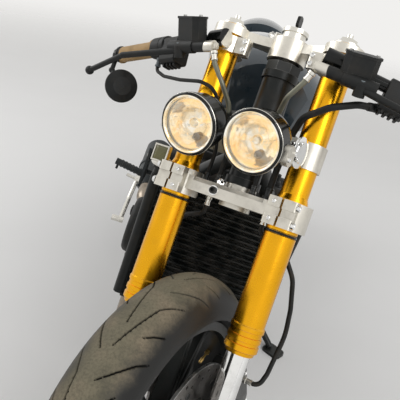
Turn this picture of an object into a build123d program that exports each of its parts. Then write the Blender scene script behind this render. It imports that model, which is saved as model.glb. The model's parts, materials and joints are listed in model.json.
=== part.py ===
"""Cafe racer motorcycle, parked on its side stand with the steering turned to its right stop.

The pieces are modelled in two upright frames, in millimetres. The body frame has its origin on the
ground, midway between the axles: forward is -Y, the left side is +X, up is +Z. The fork frame has its
origin at the centre of the front axle and its Z along the fork legs, with -Y in front of them. At the
end each piece is leaned over on the side stand, and the steered pieces are first turned to the stop.
"""

from build123d import *
import math
import os

# Stance
RAKE = 24.0
LEAN = 10.0
STEER_LOCK = 29.0
FORK_OFFSET = 30.0

# Wheels and tyres
FRONT_RADIUS = 300.0
FRONT_WIDTH = 120.0
REAR_RADIUS = 315.0
REAR_WIDTH = 180.0
RIM_SEAT = 217.0
FLANGE = 10.0
FRONT_RIM_WIDTH = 89.0
REAR_RIM_WIDTH = 140.0
FRONT_DISC_RADIUS = 160.0
FRONT_DISC_X = 68.0
REAR_DISC_RADIUS = 110.0
REAR_DISC_X = 98.0
DISC_THICK = 5.0
DISC_HOLES = 24
SPOKES = 5
WHEEL_TURN = 5.0
HUB_RADIUS = 36.0

# Lengths that add up to the wheelbase, from the front axle back to the rear axle
RADIATOR_GAP = 18.0
RADIATOR_DEPTH = 36.0
HEADER_ROOM = 126.0
ENGINE_LENGTH = 408.0
PIVOT_GAP = 57.0
SWINGARM_LENGTH = 495.0
SHOCK_REACH = 97.0
WHEELBASE = sum(
    (FRONT_RADIUS, RADIATOR_GAP, RADIATOR_DEPTH, HEADER_ROOM, ENGINE_LENGTH, PIVOT_GAP, SWINGARM_LENGTH)
)

# Fork, heights along the legs from the front axle
LEG_SPACING = 220.0
LOWER_TUBE = 57.0
UPPER_TUBE = 50.0
STANCHION = 43.0
LIP_HEIGHT = 200.0
RINGS_HEIGHT = 50.0
LOWER_YOKE_BASE = 425.0
LOWER_YOKE_HEIGHT = 48.0
UPPER_YOKE_BASE = 735.0
UPPER_YOKE_HEIGHT = 17.0
CLAMP_WALL = 11.0
PINCH_SLOT = 4.0
STEM_TOP = 716.0
STEM_RADIUS = 16.0
STEM_BORE = 18.0
HEAD_RADIUS = 30.0
AXLE_RADIUS = 12.5
AXLE_BORE = 18.0
FIT = 0.1
PLAY = 0.3

# Controls and lamps
BAR_RADIUS = 11.0
BAR_LENGTH = 312.0
BAR_END = 12.0
GRIP_RADIUS = 16.5
GRIP_LENGTH = 122.0
LAMP_RADIUS = 52.0
LAMP_SPACING = 117.0
LAMP_DEPTH = 82.0
LAMP_HEIGHT = 534.0
LAMP_REACH = 136.0
HOUSING_RADIUS = 22.0
HOUSING_HEIGHT = 64.0

# Frame and engine, in the body frame
FRAME_TUBE = 16.0
RAIL_RADIUS = 12.0
PIVOT_Z = 330.0
PIVOT_RADIUS = 10.0
CRADLE_X = 95.0
CRADLE_Z = 205.0
RAIL_X = 135.0
RAIL_Z = 800.0
PLATE_THICK = 14.0
CASE_WIDTH = 300.0
CASE_TOP = 400.0
BARREL_HEIGHT = 98.0
FIN_PITCH = 16.0
HEAD_HEIGHT = 82.0
HEAD_WIDTH = 330.0
TANK_BASE = 800.0

# Running gear
REAR_AXLE_RADIUS = 12.5
REAR_AXLE_BORE = 18.0
CHAIN_X = 107.0
CHAIN_WIDTH = 18.0
CHAIN_HEIGHT = 15.0
CHAIN_PITCH = 15.875
REAR_TEETH = 38
DRIVE_TEETH = 15
DRIVE_Z = 340.0
ARM_IN = 121.0
ARM_OUT = 151.0
ARM_HEIGHT = 50.0
SPOOL_BORE = 8.0
SPOOL_BOSS = 4.0
# The right bobbin's hole against the left one
SPOOL_BACK = 1.4
SPOOL_DROP = 0.6
MUFFLER_RADIUS = 50.0

# Side stand, in the body frame
STAND_PIVOT = Vector(136, 100, 215)
STAND_FOOT_X = 345.0
STAND_FOOT_Y = -50.0
STAND_RADIUS = 9.5
STAND_FOLDED = Vector(60, 290, -6)
STAND_PIN = 6.0

os.makedirs("parts", exist_ok=True)

LEG_X = LEG_SPACING / 2
FRONT_AXLE = Vector(0, -WHEELBASE / 2, FRONT_RADIUS)
REAR_AXLE = Vector(0, WHEELBASE / 2, REAR_RADIUS)
RADIATOR_FRONT = FRONT_AXLE.Y + FRONT_RADIUS + RADIATOR_GAP
ENGINE_FRONT = RADIATOR_FRONT + RADIATOR_DEPTH + HEADER_ROOM
ENGINE_BACK = ENGINE_FRONT + ENGINE_LENGTH
PIVOT_Y = ENGINE_BACK + PIVOT_GAP
SHOCK_Y = PIVOT_Y + SHOCK_REACH
UPPER_YOKE_TOP = UPPER_YOKE_BASE + UPPER_YOKE_HEIGHT
LOWER_YOKE_TOP = LOWER_YOKE_BASE + LOWER_YOKE_HEIGHT


def moved(place, point):
    """The point carried by a placing."""
    return (place * Location(point)).position


def turned(place, direction):
    """The direction turned by a placing, without its shift."""
    return moved(place, direction) - place.position


def tyre_low(centre, axle, radius, width):
    """Height of the lowest point of a round tyre whose axle is tilted."""
    ring = radius - width / 2
    return centre.Z - ring * math.sqrt(1 - axle.Z**2) - width / 2


# The fork frame stands at the front axle, leaned back by the rake. The bike leans on its stand, and
# pitches by the little that sets both tyres on the ground.
LEFT = Vector(1, 0, 0)
FORK = Location(FRONT_AXLE) * Rotation(-RAKE, 0, 0)
STEM = Location((0, FORK_OFFSET, 0))
AT_STOP = FORK * STEM * Rotation(0, 0, -STEER_LOCK) * STEM.inverse()
LEANED = Rotation(0, LEAN, 0)
FRONT_LEANED = LEANED * AT_STOP
front_low = tyre_low(FRONT_LEANED.position, turned(FRONT_LEANED, LEFT), FRONT_RADIUS, FRONT_WIDTH)
rear_low = tyre_low(moved(LEANED, REAR_AXLE), turned(LEANED, LEFT), REAR_RADIUS, REAR_WIDTH)
PITCH = math.degrees((front_low - rear_low) / (REAR_AXLE.Y - FRONT_LEANED.position.Y))
TILTED = Rotation(PITCH, 0, 0) * LEANED
SINK = tyre_low(moved(TILTED, REAR_AXLE), turned(TILTED, LEFT), REAR_RADIUS, REAR_WIDTH)
PARKED = Location((0, 0, -SINK)) * TILTED
STEERED = PARKED * AT_STOP

# The stand's foot is where its leg meets the ground.
UP = turned(PARKED.inverse(), Vector(0, 0, 1))
GROUND = moved(PARKED.inverse(), Vector(0, 0, 0))
STAND_FOOT_Z = GROUND.Z - ((STAND_FOOT_X - GROUND.X) * UP.X + (STAND_FOOT_Y - GROUND.Y) * UP.Y) / UP.Z
STAND_FOOT = Vector(STAND_FOOT_X, STAND_FOOT_Y, STAND_FOOT_Z)
STAND_AXIS = (STAND_FOOT - STAND_PIVOT).cross(STAND_FOLDED).normalized()
STAND_TRAVEL = (STAND_FOOT - STAND_PIVOT).get_angle(STAND_FOLDED)


def rod(start, end, radius, mode=Mode.ADD):
    """A round bar between two points, added to the piece in hand."""
    start = Vector(start)
    run = Vector(end) - start
    with BuildSketch(Plane(origin=start, z_dir=run)) as section:
        Circle(radius)
    extrude(section.sketch, amount=run.length, mode=mode)


def tube(points, bends, radius, mode=Mode.ADD):
    """A bent round tube along a route of straight runs and tangent arcs."""
    with BuildLine() as route:
        FilletPolyline(*points, radius=bends)
    with BuildSketch(Plane(origin=route.line @ 0, z_dir=route.line % 0)) as section:
        Circle(radius)
    sweep(section.sketch, path=route.line, mode=mode)


def slab(low, high, mode=Mode.ADD):
    """A block between two opposite corners."""
    low = Vector(low)
    size = Vector(high) - low
    with BuildSketch(Plane.XY.offset(low.Z)) as section:
        with Locations((low.X + size.X / 2, low.Y + size.Y / 2)):
            Rectangle(size.X, size.Y)
    extrude(section.sketch, amount=size.Z, mode=mode)


def side_plate(outline, x_low, x_high, mode=Mode.ADD):
    """A plate with a side-view outline of Y and Z, between two distances to the left."""
    with BuildSketch(Plane.YZ.offset(x_low)) as section:
        with BuildLine():
            Polyline(*outline, close=True)
        make_face()
    extrude(section.sketch, amount=x_high - x_low, mode=mode)


def turning(centre, run, profile, mode=Mode.ADD):
    """A turned piece: its profile gives distance along the run and radius."""
    across = Vector(0, 0, 1).cross(run).normalized()
    with BuildSketch(Plane(origin=centre, x_dir=run, z_dir=run.cross(across))) as section:
        with BuildLine():
            Polyline(*profile, close=True)
        make_face()
    revolve(section.sketch, axis=Axis(centre, run), mode=mode)

# Steered pieces, in the fork frame
LOW = LOWER_TUBE / 2
HIGH = UPPER_TUBE / 2
CLAMP_RADIUS = LOW + CLAMP_WALL
WEB_FRONT = -CLAMP_RADIUS + 12
WEB_TOP = LOWER_YOKE_TOP - 10
WEB_BASE = WEB_TOP - 26
WEB_STEP = 9
BOTH_LEGS = ((LEG_X, 0), (-LEG_X, 0))
LUG_FRONT = -CLAMP_RADIUS - 9

with BuildPart() as lower_yoke:
    # Clamps with pinch lugs in front of the legs
    with BuildSketch(Plane.XY.offset(LOWER_YOKE_BASE)):
        with Locations(*BOTH_LEGS):
            Circle(CLAMP_RADIUS)
        with Locations((LEG_X, LUG_FRONT / 2), (-LEG_X, LUG_FRONT / 2)):
            RectangleRounded(LOWER_TUBE - 5, -LUG_FRONT, 4)
    extrude(amount=LOWER_YOKE_HEIGHT)
    # The web between them, with a step along its upper front edge
    with BuildSketch(Plane.XY.offset(WEB_BASE)):
        with BuildLine():
            Polyline((-LEG_X, 26), (-LEG_X, WEB_FRONT), (LEG_X, WEB_FRONT), (LEG_X, 26))
            ThreePointArc((LEG_X, 26), (60, 44), (38, 62))
            Line((38, 62), (-38, 62))
            ThreePointArc((-38, 62), (-60, 44), (-LEG_X, 26))
        make_face()
    extrude(amount=WEB_TOP - WEB_BASE)
    step = [(WEB_FRONT - 1, WEB_TOP + 1), (WEB_FRONT - 1, WEB_TOP - WEB_STEP), (WEB_FRONT + 6, WEB_TOP + 1)]
    side_plate(step, CLAMP_RADIUS - LEG_X, LEG_X - CLAMP_RADIUS, mode=Mode.SUBTRACT)
    # The hub round the stem, and the hollow stem
    with BuildSketch(Plane.XY.offset(LOWER_YOKE_BASE + 4)):
        with Locations((0, FORK_OFFSET)):
            Circle(HEAD_RADIUS)
    extrude(amount=LOWER_YOKE_HEIGHT - 4)
    with BuildSketch(Plane.XY.offset(LOWER_YOKE_TOP)):
        with Locations((0, FORK_OFFSET)):
            Circle(STEM_RADIUS)
    extrude(amount=STEM_TOP - LOWER_YOKE_TOP)
    with BuildSketch(Plane.XY.offset(LOWER_YOKE_BASE)):
        with Locations((0, FORK_OFFSET)):
            Circle(STEM_BORE / 2)
    extrude(amount=STEM_TOP - LOWER_YOKE_BASE - 12, mode=Mode.SUBTRACT)
    # Bores for the legs, the pinch slots and the groove between each slot's two bolts
    with BuildSketch(Plane.XY.offset(LOWER_YOKE_BASE)):
        with Locations(*BOTH_LEGS):
            Circle(LOW + FIT)
        with Locations((LEG_X, LUG_FRONT), (-LEG_X, LUG_FRONT)):
            Rectangle(PINCH_SLOT, 2 * (CLAMP_RADIUS - LOW + 11))
    extrude(amount=LOWER_YOKE_HEIGHT, mode=Mode.SUBTRACT)
    groove = (LOWER_YOKE_BASE + LOWER_YOKE_TOP) / 2
    for leg in (-LEG_X, LEG_X):
        slab((leg - 30, LUG_FRONT - 1, groove - 7), (leg + 30, LUG_FRONT + 5, groove + 7), mode=Mode.SUBTRACT)

BOSS_RADIUS = HOUSING_RADIUS + 14
with BuildPart() as upper_yoke:
    with BuildSketch(Plane.XY.offset(UPPER_YOKE_BASE)):
        with Locations(*BOTH_LEGS):
            Circle(HIGH + 10)
        with Locations((LEG_X, HIGH + 8), (-LEG_X, HIGH + 8)):
            RectangleRounded(30, 18, 4)
        with BuildLine():
            ThreePointArc((-LEG_X, -22), (0, 12), (LEG_X, -22))
            Line((LEG_X, -22), (LEG_X, 22))
            ThreePointArc((LEG_X, 22), (68, 32), (34, 64))
            Line((34, 64), (-34, 64))
            ThreePointArc((-34, 64), (-68, 32), (-LEG_X, 22))
            Line((-LEG_X, 22), (-LEG_X, -22))
        make_face()
    extrude(amount=UPPER_YOKE_HEIGHT)
    # The boss that carries the lock, deeper than the wings
    with BuildSketch(Plane.XY.offset(STEM_TOP + PLAY)):
        with Locations((0, FORK_OFFSET)):
            Circle(BOSS_RADIUS)
    extrude(amount=UPPER_YOKE_TOP + 4 - STEM_TOP - PLAY)
    with BuildSketch(Plane.XY.offset(STEM_TOP)):
        with Locations(*BOTH_LEGS):
            Circle(HIGH + FIT)
        with Locations((0, FORK_OFFSET)):
            Circle(HOUSING_RADIUS + FIT)
        with Locations((LEG_X, HIGH + 12), (-LEG_X, HIGH + 12)):
            Rectangle(PINCH_SLOT, 26)
    extrude(amount=2 * BOSS_RADIUS, mode=Mode.SUBTRACT)

COLLAR_BASE = STEM_TOP - 22
with BuildPart() as stem_collar:
    with BuildSketch(Plane.XY.offset(COLLAR_BASE)):
        with Locations((0, FORK_OFFSET)):
            RegularPolygon(34, 8)
            Circle(STEM_RADIUS + FIT, mode=Mode.SUBTRACT)
    extrude(amount=20)
    chamfer(stem_collar.faces().sort_by(Axis.Z)[-1].outer_wire().edges(), 3)

HOUSING_TOP = STEM_TOP + HOUSING_HEIGHT
with BuildPart() as ignition_housing:
    with BuildSketch(Plane.XY.offset(STEM_TOP + FIT)):
        with Locations((0, FORK_OFFSET)):
            Circle(HOUSING_RADIUS)
    extrude(amount=HOUSING_HEIGHT - FIT)
    # The lip, and the lock plate inside it
    with BuildSketch(Plane.XY.offset(HOUSING_TOP - 8)):
        with Locations((0, FORK_OFFSET)):
            Circle(HOUSING_RADIUS + 3)
    extrude(amount=7)
    with BuildSketch(Plane.XY.offset(HOUSING_TOP)):
        with Locations((0, FORK_OFFSET)):
            Circle(HOUSING_RADIUS - 7)
    extrude(amount=-3, mode=Mode.SUBTRACT)
    # The key: its blade in the lock and its rounded bow
    with BuildSketch(Plane.XY.offset(HOUSING_TOP - 3)):
        with Locations((0, FORK_OFFSET)):
            Rectangle(2.5, 9)
    extrude(amount=12)
    with BuildSketch(Plane.YZ.offset(-3)):
        with Locations((FORK_OFFSET, HOUSING_TOP + 18)):
            RectangleRounded(17, 22, 6)
    extrude(amount=6)

# The left leg's own plane and axis; the right leg mirrors the left.
LEG_PLANE = Plane(origin=(LEG_X, 0, 0), x_dir=(1, 0, 0), z_dir=(0, -1, 0))
LEG_AXIS = Axis((LEG_X, 0, 0), (0, 0, 1))
RING = LOW + 1.8
RINGS_TOP = LIP_HEIGHT + RINGS_HEIGHT
TUBE_TOP = UPPER_YOKE_TOP + 4

with BuildPart() as fork_tubes:
    with BuildSketch(LEG_PLANE):
        with BuildLine():
            Polyline(
                (STANCHION / 2 + PLAY, LIP_HEIGHT),
                (LOW - 3, LIP_HEIGHT),
                (LOW - 1, LIP_HEIGHT + 6),
                (RING, LIP_HEIGHT + 8),
                (RING, LIP_HEIGHT + 18),
                (LOW, LIP_HEIGHT + 19),
                (LOW, LIP_HEIGHT + 24),
                (RING, LIP_HEIGHT + 25),
                (RING, LIP_HEIGHT + 33),
                (LOW, LIP_HEIGHT + 34),
                (LOW, RINGS_TOP - 8),
                (RING, RINGS_TOP - 7),
                (RING, RINGS_TOP),
                (LOW, RINGS_TOP + 2),
                (LOW, LOWER_YOKE_BASE - 12),
                (LOW - 1.5, LOWER_YOKE_BASE - 11),
                (LOW - 1.5, LOWER_YOKE_BASE - 6),
                (LOW, LOWER_YOKE_BASE - 5),
                (LOW, LOWER_YOKE_TOP + 2),
                (HIGH, LOWER_YOKE_TOP + 12),
                (HIGH, TUBE_TOP),
                (HIGH - 6, TUBE_TOP),
                (HIGH - 6, LOWER_YOKE_TOP + 20),
                (STANCHION / 2 + PLAY, LOWER_YOKE_TOP + 14),
                close=True,
            )
        make_face()
    revolve(axis=LEG_AXIS)
    mirror(about=Plane.YZ)

with BuildPart() as fork_caps:
    with BuildSketch(LEG_PLANE):
        with BuildLine():
            Polyline(
                (0, TUBE_TOP - 20),
                (HIGH - 6 - FIT, TUBE_TOP - 20),
                (HIGH - 6 - FIT, TUBE_TOP + FIT),
                (HIGH - 1, TUBE_TOP + FIT),
                (HIGH - 1, TUBE_TOP + 3),
                (HIGH - 3, TUBE_TOP + 5),
                (0, TUBE_TOP + 5),
                close=True,
            )
        make_face()
    revolve(axis=LEG_AXIS)
    with BuildSketch(Plane.XY.offset(TUBE_TOP + 5)):
        with Locations((LEG_X, 0)):
            RegularPolygon(16, 6)
    extrude(amount=8)
    with BuildSketch(Plane.XY.offset(TUBE_TOP + 13)):
        with Locations((LEG_X, 0)):
            Circle(6)
    extrude(amount=9)
    mirror(about=Plane.YZ)

FOOT_HALF = 18.0
CALIPER_REACH = 142.0
CALIPER_TALL = 68.0
CALIPER_LONG = 110.0
LUG = (CALIPER_REACH - CALIPER_TALL / 2) / math.sqrt(2) - PLAY
FOOT = [(-22, -10), (-10, -24), (12, -24), (24, -8), (26, 60), (18, 84), (-18, 84), (-26, 60), (-24, 20)]
CALIPER_ARM = [(0, 95), (0, 40), (LUG, 28), (LUG + 20, LUG - 20), (LUG - 20, LUG + 20)]
with BuildPart() as fork_sliders:
    with BuildSketch(Plane.XY.offset(50)):
        with Locations((LEG_X, 0)):
            Circle(STANCHION / 2)
    extrude(amount=LOWER_YOKE_TOP - 50)
    side_plate(FOOT, LEG_X - FOOT_HALF, LEG_X + FOOT_HALF)
    side_plate(CALIPER_ARM, LEG_X - FOOT_HALF, LEG_X - 2)
    axle_side = LEG_X + FOOT_HALF + 1
    rod((LEG_X - FOOT_HALF - 1, 0, 0), (axle_side, 0, 0), AXLE_RADIUS + FIT, mode=Mode.SUBTRACT)
    # The slot that lets the foot pinch the axle
    slab((LEG_X - FOOT_HALF - 1, -2, -30), (axle_side, 2, -AXLE_RADIUS), mode=Mode.SUBTRACT)
    mirror(about=Plane.YZ)

CALIPER_IN = 46.0
CALIPER_OUT = 107.0
CALIPER = Plane(
    origin=(CALIPER_IN, CALIPER_REACH / math.sqrt(2), CALIPER_REACH / math.sqrt(2)),
    x_dir=(0, 1, 1),
    z_dir=(1, 0, 0),
)
PISTON_SPACING = 46.0
with BuildPart() as front_calipers:
    with BuildSketch(CALIPER):
        RectangleRounded(CALIPER_TALL, CALIPER_LONG, 14)
    extrude(amount=CALIPER_OUT - CALIPER_IN)
    # Piston covers, the bridge's window and the slot for the disc
    with BuildSketch(CALIPER.offset(CALIPER_OUT - CALIPER_IN)):
        with Locations((-12, PISTON_SPACING / 2), (-12, -PISTON_SPACING / 2)):
            Circle(15)
    extrude(amount=3, taper=20)
    with BuildSketch(CALIPER):
        with Locations((CALIPER_TALL / 2 - 12, 0)):
            Rectangle(28, 34)
    extrude(amount=CALIPER_OUT - CALIPER_IN - 14, mode=Mode.SUBTRACT)
    with BuildSketch(Plane.YZ.offset(FRONT_DISC_X - 4)):
        Circle(FRONT_DISC_RADIUS + 4)
    extrude(amount=8, mode=Mode.SUBTRACT)
    mirror(about=Plane.YZ)

AXLE_END = LEG_X + 26
with BuildPart() as front_axle:
    rod((-AXLE_END, 0, 0), (AXLE_END, 0, 0), AXLE_RADIUS)
    rod((LEG_X + FOOT_HALF + PLAY, 0, 0), (AXLE_END, 0, 0), AXLE_RADIUS + 5)
    rod((-AXLE_END, 0, 0), (-LEG_X - FOOT_HALF - PLAY, 0, 0), AXLE_RADIUS + 5)
    rod((-AXLE_END - 4, 0, 0), (AXLE_END + 4, 0, 0), AXLE_BORE / 2, mode=Mode.SUBTRACT)

# Twin head lamps: each looks straight ahead, so its axis is tilted in the fork frame.
LAMP_X = LAMP_SPACING / 2
LAMP_CENTRE = Vector(LAMP_X, -LAMP_REACH, LAMP_HEIGHT)
AHEAD = Vector(0, -math.cos(math.radians(RAKE)), -math.sin(math.radians(RAKE)))
LAMP_PLANE = Plane(origin=LAMP_CENTRE, x_dir=(1, 0, 0), z_dir=LEFT.cross(AHEAD))
LAMP_AXIS = Axis(LAMP_CENTRE, AHEAD)
SHELL = LAMP_RADIUS - 4
SHELL_IN = SHELL - 4

with BuildPart() as lamp_shells:
    with BuildSketch(LAMP_PLANE):
        with BuildLine():
            Polyline((SHELL, -40), (SHELL, -14), (LAMP_RADIUS, -12), (LAMP_RADIUS, -2), (LAMP_RADIUS - 2, 0))
            Polyline((LAMP_RADIUS - 2, 0), (LAMP_RADIUS - 5, 0), (LAMP_RADIUS - 5, -3), (SHELL_IN, -5))
            Line((SHELL_IN, -5), (SHELL_IN, -40))
            ThreePointArc((SHELL_IN, -40), (SHELL * 0.7, -LAMP_DEPTH * 0.8), (12, -LAMP_DEPTH + 4))
            Polyline((12, -LAMP_DEPTH + 4), (0, -LAMP_DEPTH + 4), (0, -LAMP_DEPTH), (14, -LAMP_DEPTH))
            ThreePointArc((14, -LAMP_DEPTH), (SHELL * 0.79, -LAMP_DEPTH * 0.82), (SHELL, -40))
        make_face()
    revolve(axis=LAMP_AXIS)
    mirror(about=Plane.YZ)

LENS = SHELL_IN - FIT
with BuildPart() as lamp_lenses:
    with BuildSketch(LAMP_PLANE):
        with BuildLine():
            TangentArc((0, -2), (LENS, -6), tangent=(1, 0))
            Line((LENS, -6), (LENS, -9))
            TangentArc((0, -6), (LENS, -9), tangent=(1, 0))
            Line((0, -6), (0, -2))
        make_face()
    revolve(axis=LAMP_AXIS)
    mirror(about=Plane.YZ)

BOWL_DEPTH = 50.0
BULB = 5.5
SHIELD = 8.5
with BuildPart() as lamp_reflectors:
    # A bowl, and on its axis the bulb with the shield that caps it
    with BuildSketch(LAMP_PLANE):
        with BuildLine():
            Line((LENS, -9.5), (LENS - 2.5, -9.5))
            ThreePointArc((LENS - 2.5, -9.5), (LENS * 0.72, -35), (SHIELD, -BOWL_DEPTH + 3))
            Polyline((SHIELD, -BOWL_DEPTH + 3), (BULB, -BOWL_DEPTH + 3), (BULB, -27), (SHIELD, -27))
            Polyline((SHIELD, -27), (SHIELD, -21), (SHIELD - 3, -18), (0, -18), (0, -BOWL_DEPTH))
            Line((0, -BOWL_DEPTH), (SHIELD, -BOWL_DEPTH))
            ThreePointArc((SHIELD, -BOWL_DEPTH), (LENS * 0.74, -38), (LENS, -9.5))
        make_face()
    revolve(axis=LAMP_AXIS)
    mirror(about=Plane.YZ)

BAND_BASE = LAMP_HEIGHT - 2
BAND_HEIGHT = 45.0
EAR_X = LAMP_X + SHELL + PLAY
EAR = [
    (-LAMP_REACH + 24, LAMP_HEIGHT - 2),
    (-LAMP_REACH + 24, LAMP_HEIGHT + 14),
    (-20, LAMP_HEIGHT + 36),
    (-20, LAMP_HEIGHT + 4),
    (-LAMP_REACH + 40, LAMP_HEIGHT - 16),
]
with BuildPart() as lamp_brackets:
    with BuildSketch(Plane.XY.offset(BAND_BASE)):
        with Locations(*BOTH_LEGS):
            Circle(HIGH + 4)
        with Locations((LEG_X - 22, -24), (22 - LEG_X, -24)):
            RectangleRounded(20, 20, 3)
    extrude(amount=BAND_HEIGHT)
    slab((-LEG_X, -28, BAND_BASE + 12), (LEG_X, -22, BAND_BASE + 32))
    side_plate(EAR, EAR_X, EAR_X + 4)
    rod((EAR_X, 32 - LAMP_REACH, LAMP_HEIGHT), (EAR_X + 10, 32 - LAMP_REACH, LAMP_HEIGHT), 17)
    side_plate(EAR, -EAR_X - 4, -EAR_X)
    rod((-EAR_X, 32 - LAMP_REACH, LAMP_HEIGHT), (-EAR_X - 10, 32 - LAMP_REACH, LAMP_HEIGHT), 17)
    with BuildSketch(Plane.XY.offset(BAND_BASE)):
        with Locations(*BOTH_LEGS):
            Circle(HIGH + FIT)
    extrude(amount=BAND_HEIGHT, mode=Mode.SUBTRACT)

# The clip-on bars pass in front of the legs and droop back and out to the grips.
BAR_START = Vector(LEG_X, -39, STEM_TOP)
BAR_RUN = Vector(113, 40, -18).normalized()


def along_bar(distance):
    """A point on the left bar's centre line, measured out from its clamp."""
    return BAR_START + BAR_RUN * distance


GRIP_START = BAR_LENGTH - BAR_END - GRIP_LENGTH
GRIP_STOP = GRIP_START + GRIP_LENGTH
CLIP_WALL = 9.0
CLIP_HEIGHT = 30.0
with BuildPart() as handlebars:
    with BuildSketch(Plane.XY.offset(STEM_TOP - CLIP_HEIGHT / 2)):
        with Locations((LEG_X, 0)):
            Circle(HIGH + CLIP_WALL)
        with Locations((LEG_X - HIGH - 12, -12)):
            RectangleRounded(28, 24, 5)
    extrude(amount=CLIP_HEIGHT)
    rod(along_bar(-17), along_bar(16), BAR_RADIUS + 6)
    with BuildSketch(Plane.XY.offset(STEM_TOP - CLIP_HEIGHT)):
        with Locations((LEG_X, 0)):
            Circle(HIGH + FIT)
        with Locations((LEG_X - HIGH - 12, -12)):
            Rectangle(40, 3)
    extrude(amount=2 * CLIP_HEIGHT, mode=Mode.SUBTRACT)
    rod(along_bar(0), along_bar(BAR_LENGTH), BAR_RADIUS)
    rod(along_bar(GRIP_STOP + PLAY), along_bar(BAR_LENGTH), BAR_RADIUS + 4)
    mirror(about=Plane.YZ)

with BuildPart() as grips:
    rod(along_bar(GRIP_START), along_bar(GRIP_STOP), GRIP_RADIUS)
    rod(along_bar(GRIP_START), along_bar(GRIP_START + 5), GRIP_RADIUS + 4)
    rod(along_bar(GRIP_STOP - 4), along_bar(GRIP_STOP), GRIP_RADIUS + 2)
    rod(along_bar(GRIP_START - 1), along_bar(GRIP_STOP + 1), BAR_RADIUS + FIT, mode=Mode.SUBTRACT)
    mirror(about=Plane.YZ)

# Throttle or choke housing beside the grip, and the switch block that hangs below the bar
SWITCH_START = GRIP_START - 82
SWITCH_STOP = GRIP_START - 40
DOWN = Vector(0, 0, -1)
SWITCH_PLANE = Plane(origin=along_bar(SWITCH_START), x_dir=DOWN.cross(BAR_RUN), z_dir=BAR_RUN)
with BuildPart() as switchgear:
    rod(along_bar(SWITCH_STOP), along_bar(GRIP_START - PLAY), 22)
    with BuildSketch(SWITCH_PLANE):
        with Locations((0, -12)):
            RectangleRounded(38, 54, 8)
    extrude(amount=SWITCH_STOP - SWITCH_START + 4)
    # Ribs of the switch buttons underneath
    for rib in range(4):
        with BuildSketch(SWITCH_PLANE.offset(4 + rib * 10)):
            with Locations((0, -40)):
                RectangleRounded(20, 10, 3)
        extrude(amount=5)
    rod(along_bar(SWITCH_START - 1), along_bar(GRIP_START), BAR_RADIUS + FIT, mode=Mode.SUBTRACT)
    mirror(about=Plane.YZ)

# The lever's cylinder lies in front of the bar; its reservoir stands level when the bike is upright.
CYLINDER_IN = Vector(96, -72, 690)
CYLINDER_OUT = Vector(196, -52, 678)
LEVER_PIVOT = Vector(172, -58, 674)
LEVER_BEND = Vector(290, -62, 640)
LEVER_END = Vector(372, -42, 600)
RESERVOIR_UP = Vector(0.12, -0.4, 0.91).normalized()
RESERVOIR_FRONT = Vector(163, -62, 685)
RESERVOIR_SIDE = Vector(57, 25, 3.5).normalized()
CLAMP_AT = 53.0


def control(width, depth, height):
    """The left bar's clamp, cylinder, lever and reservoir, added to the piece in hand."""
    rod(along_bar(CLAMP_AT - 11), along_bar(CLAMP_AT + 11), BAR_RADIUS + 5)
    rod(along_bar(CLAMP_AT), along_bar(CLAMP_AT) + Vector(0, -34, -14), 11)
    rod(CYLINDER_IN, CYLINDER_OUT, 10)
    rod(CYLINDER_IN + (CYLINDER_OUT - CYLINDER_IN) * 0.45, CYLINDER_OUT, 12)
    back = RESERVOIR_UP.cross(RESERVOIR_SIDE)
    base = Plane(origin=RESERVOIR_FRONT + back * depth / 2, x_dir=RESERVOIR_SIDE, z_dir=RESERVOIR_UP)
    with BuildSketch(base) as body:
        Rectangle(width, depth)
        chamfer(body.vertices(), 9)
    extrude(body.sketch, amount=height)
    with BuildSketch(base.offset(height)) as lid:
        Rectangle(width + 3, depth + 3)
        chamfer(lid.vertices(), 10)
    extrude(lid.sketch, amount=4)
    # The lever's yoke round its pivot, and the blade with its ball end
    rod(LEVER_PIVOT - RESERVOIR_UP * 13, LEVER_PIVOT + RESERVOIR_UP * 8, 10)
    rod(LEVER_PIVOT, LEVER_BEND, 6)
    rod(LEVER_BEND, LEVER_END, 5.5)
    with Locations(LEVER_BEND):
        Sphere(6)
    with Locations(LEVER_END):
        Sphere(9)
    rod(along_bar(5), along_bar(115), BAR_RADIUS + FIT, mode=Mode.SUBTRACT)


with BuildPart() as brake_left:
    control(62, 34, 46)

with BuildPart() as brake_master:
    add(brake_left.part)
    mirror(about=Plane.YZ, mode=Mode.REPLACE)

with BuildPart() as clutch_perch:
    control(56, 32, 36)

MIRROR_CENTRE = Vector(362, 60, 604)
MIRROR_FACE = Vector(0.75, 0.65, 0).normalized()
MIRROR_RADIUS = 36.0
STALK_TOP = along_bar(BAR_LENGTH + 6)
STALK_LOW = STALK_TOP - Vector(0, 0, 34)
with BuildPart() as mirrors:
    rod(along_bar(BAR_LENGTH + PLAY), along_bar(BAR_LENGTH + 10), 9)
    rod(STALK_TOP, STALK_LOW, 5)
    rod(STALK_LOW, MIRROR_CENTRE + Vector(6, 0, 4), 5)
    with Locations(STALK_LOW):
        Sphere(7)
    # The shell is a shallow dish, the glass sits in its rim
    turning(
        MIRROR_CENTRE,
        MIRROR_FACE,
        [(-9, 0), (-8, 20), (-2, MIRROR_RADIUS), (4, MIRROR_RADIUS), (4, MIRROR_RADIUS - 3), (2, 30), (2, 0)],
    )
    mirror(about=Plane.YZ)

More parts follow.
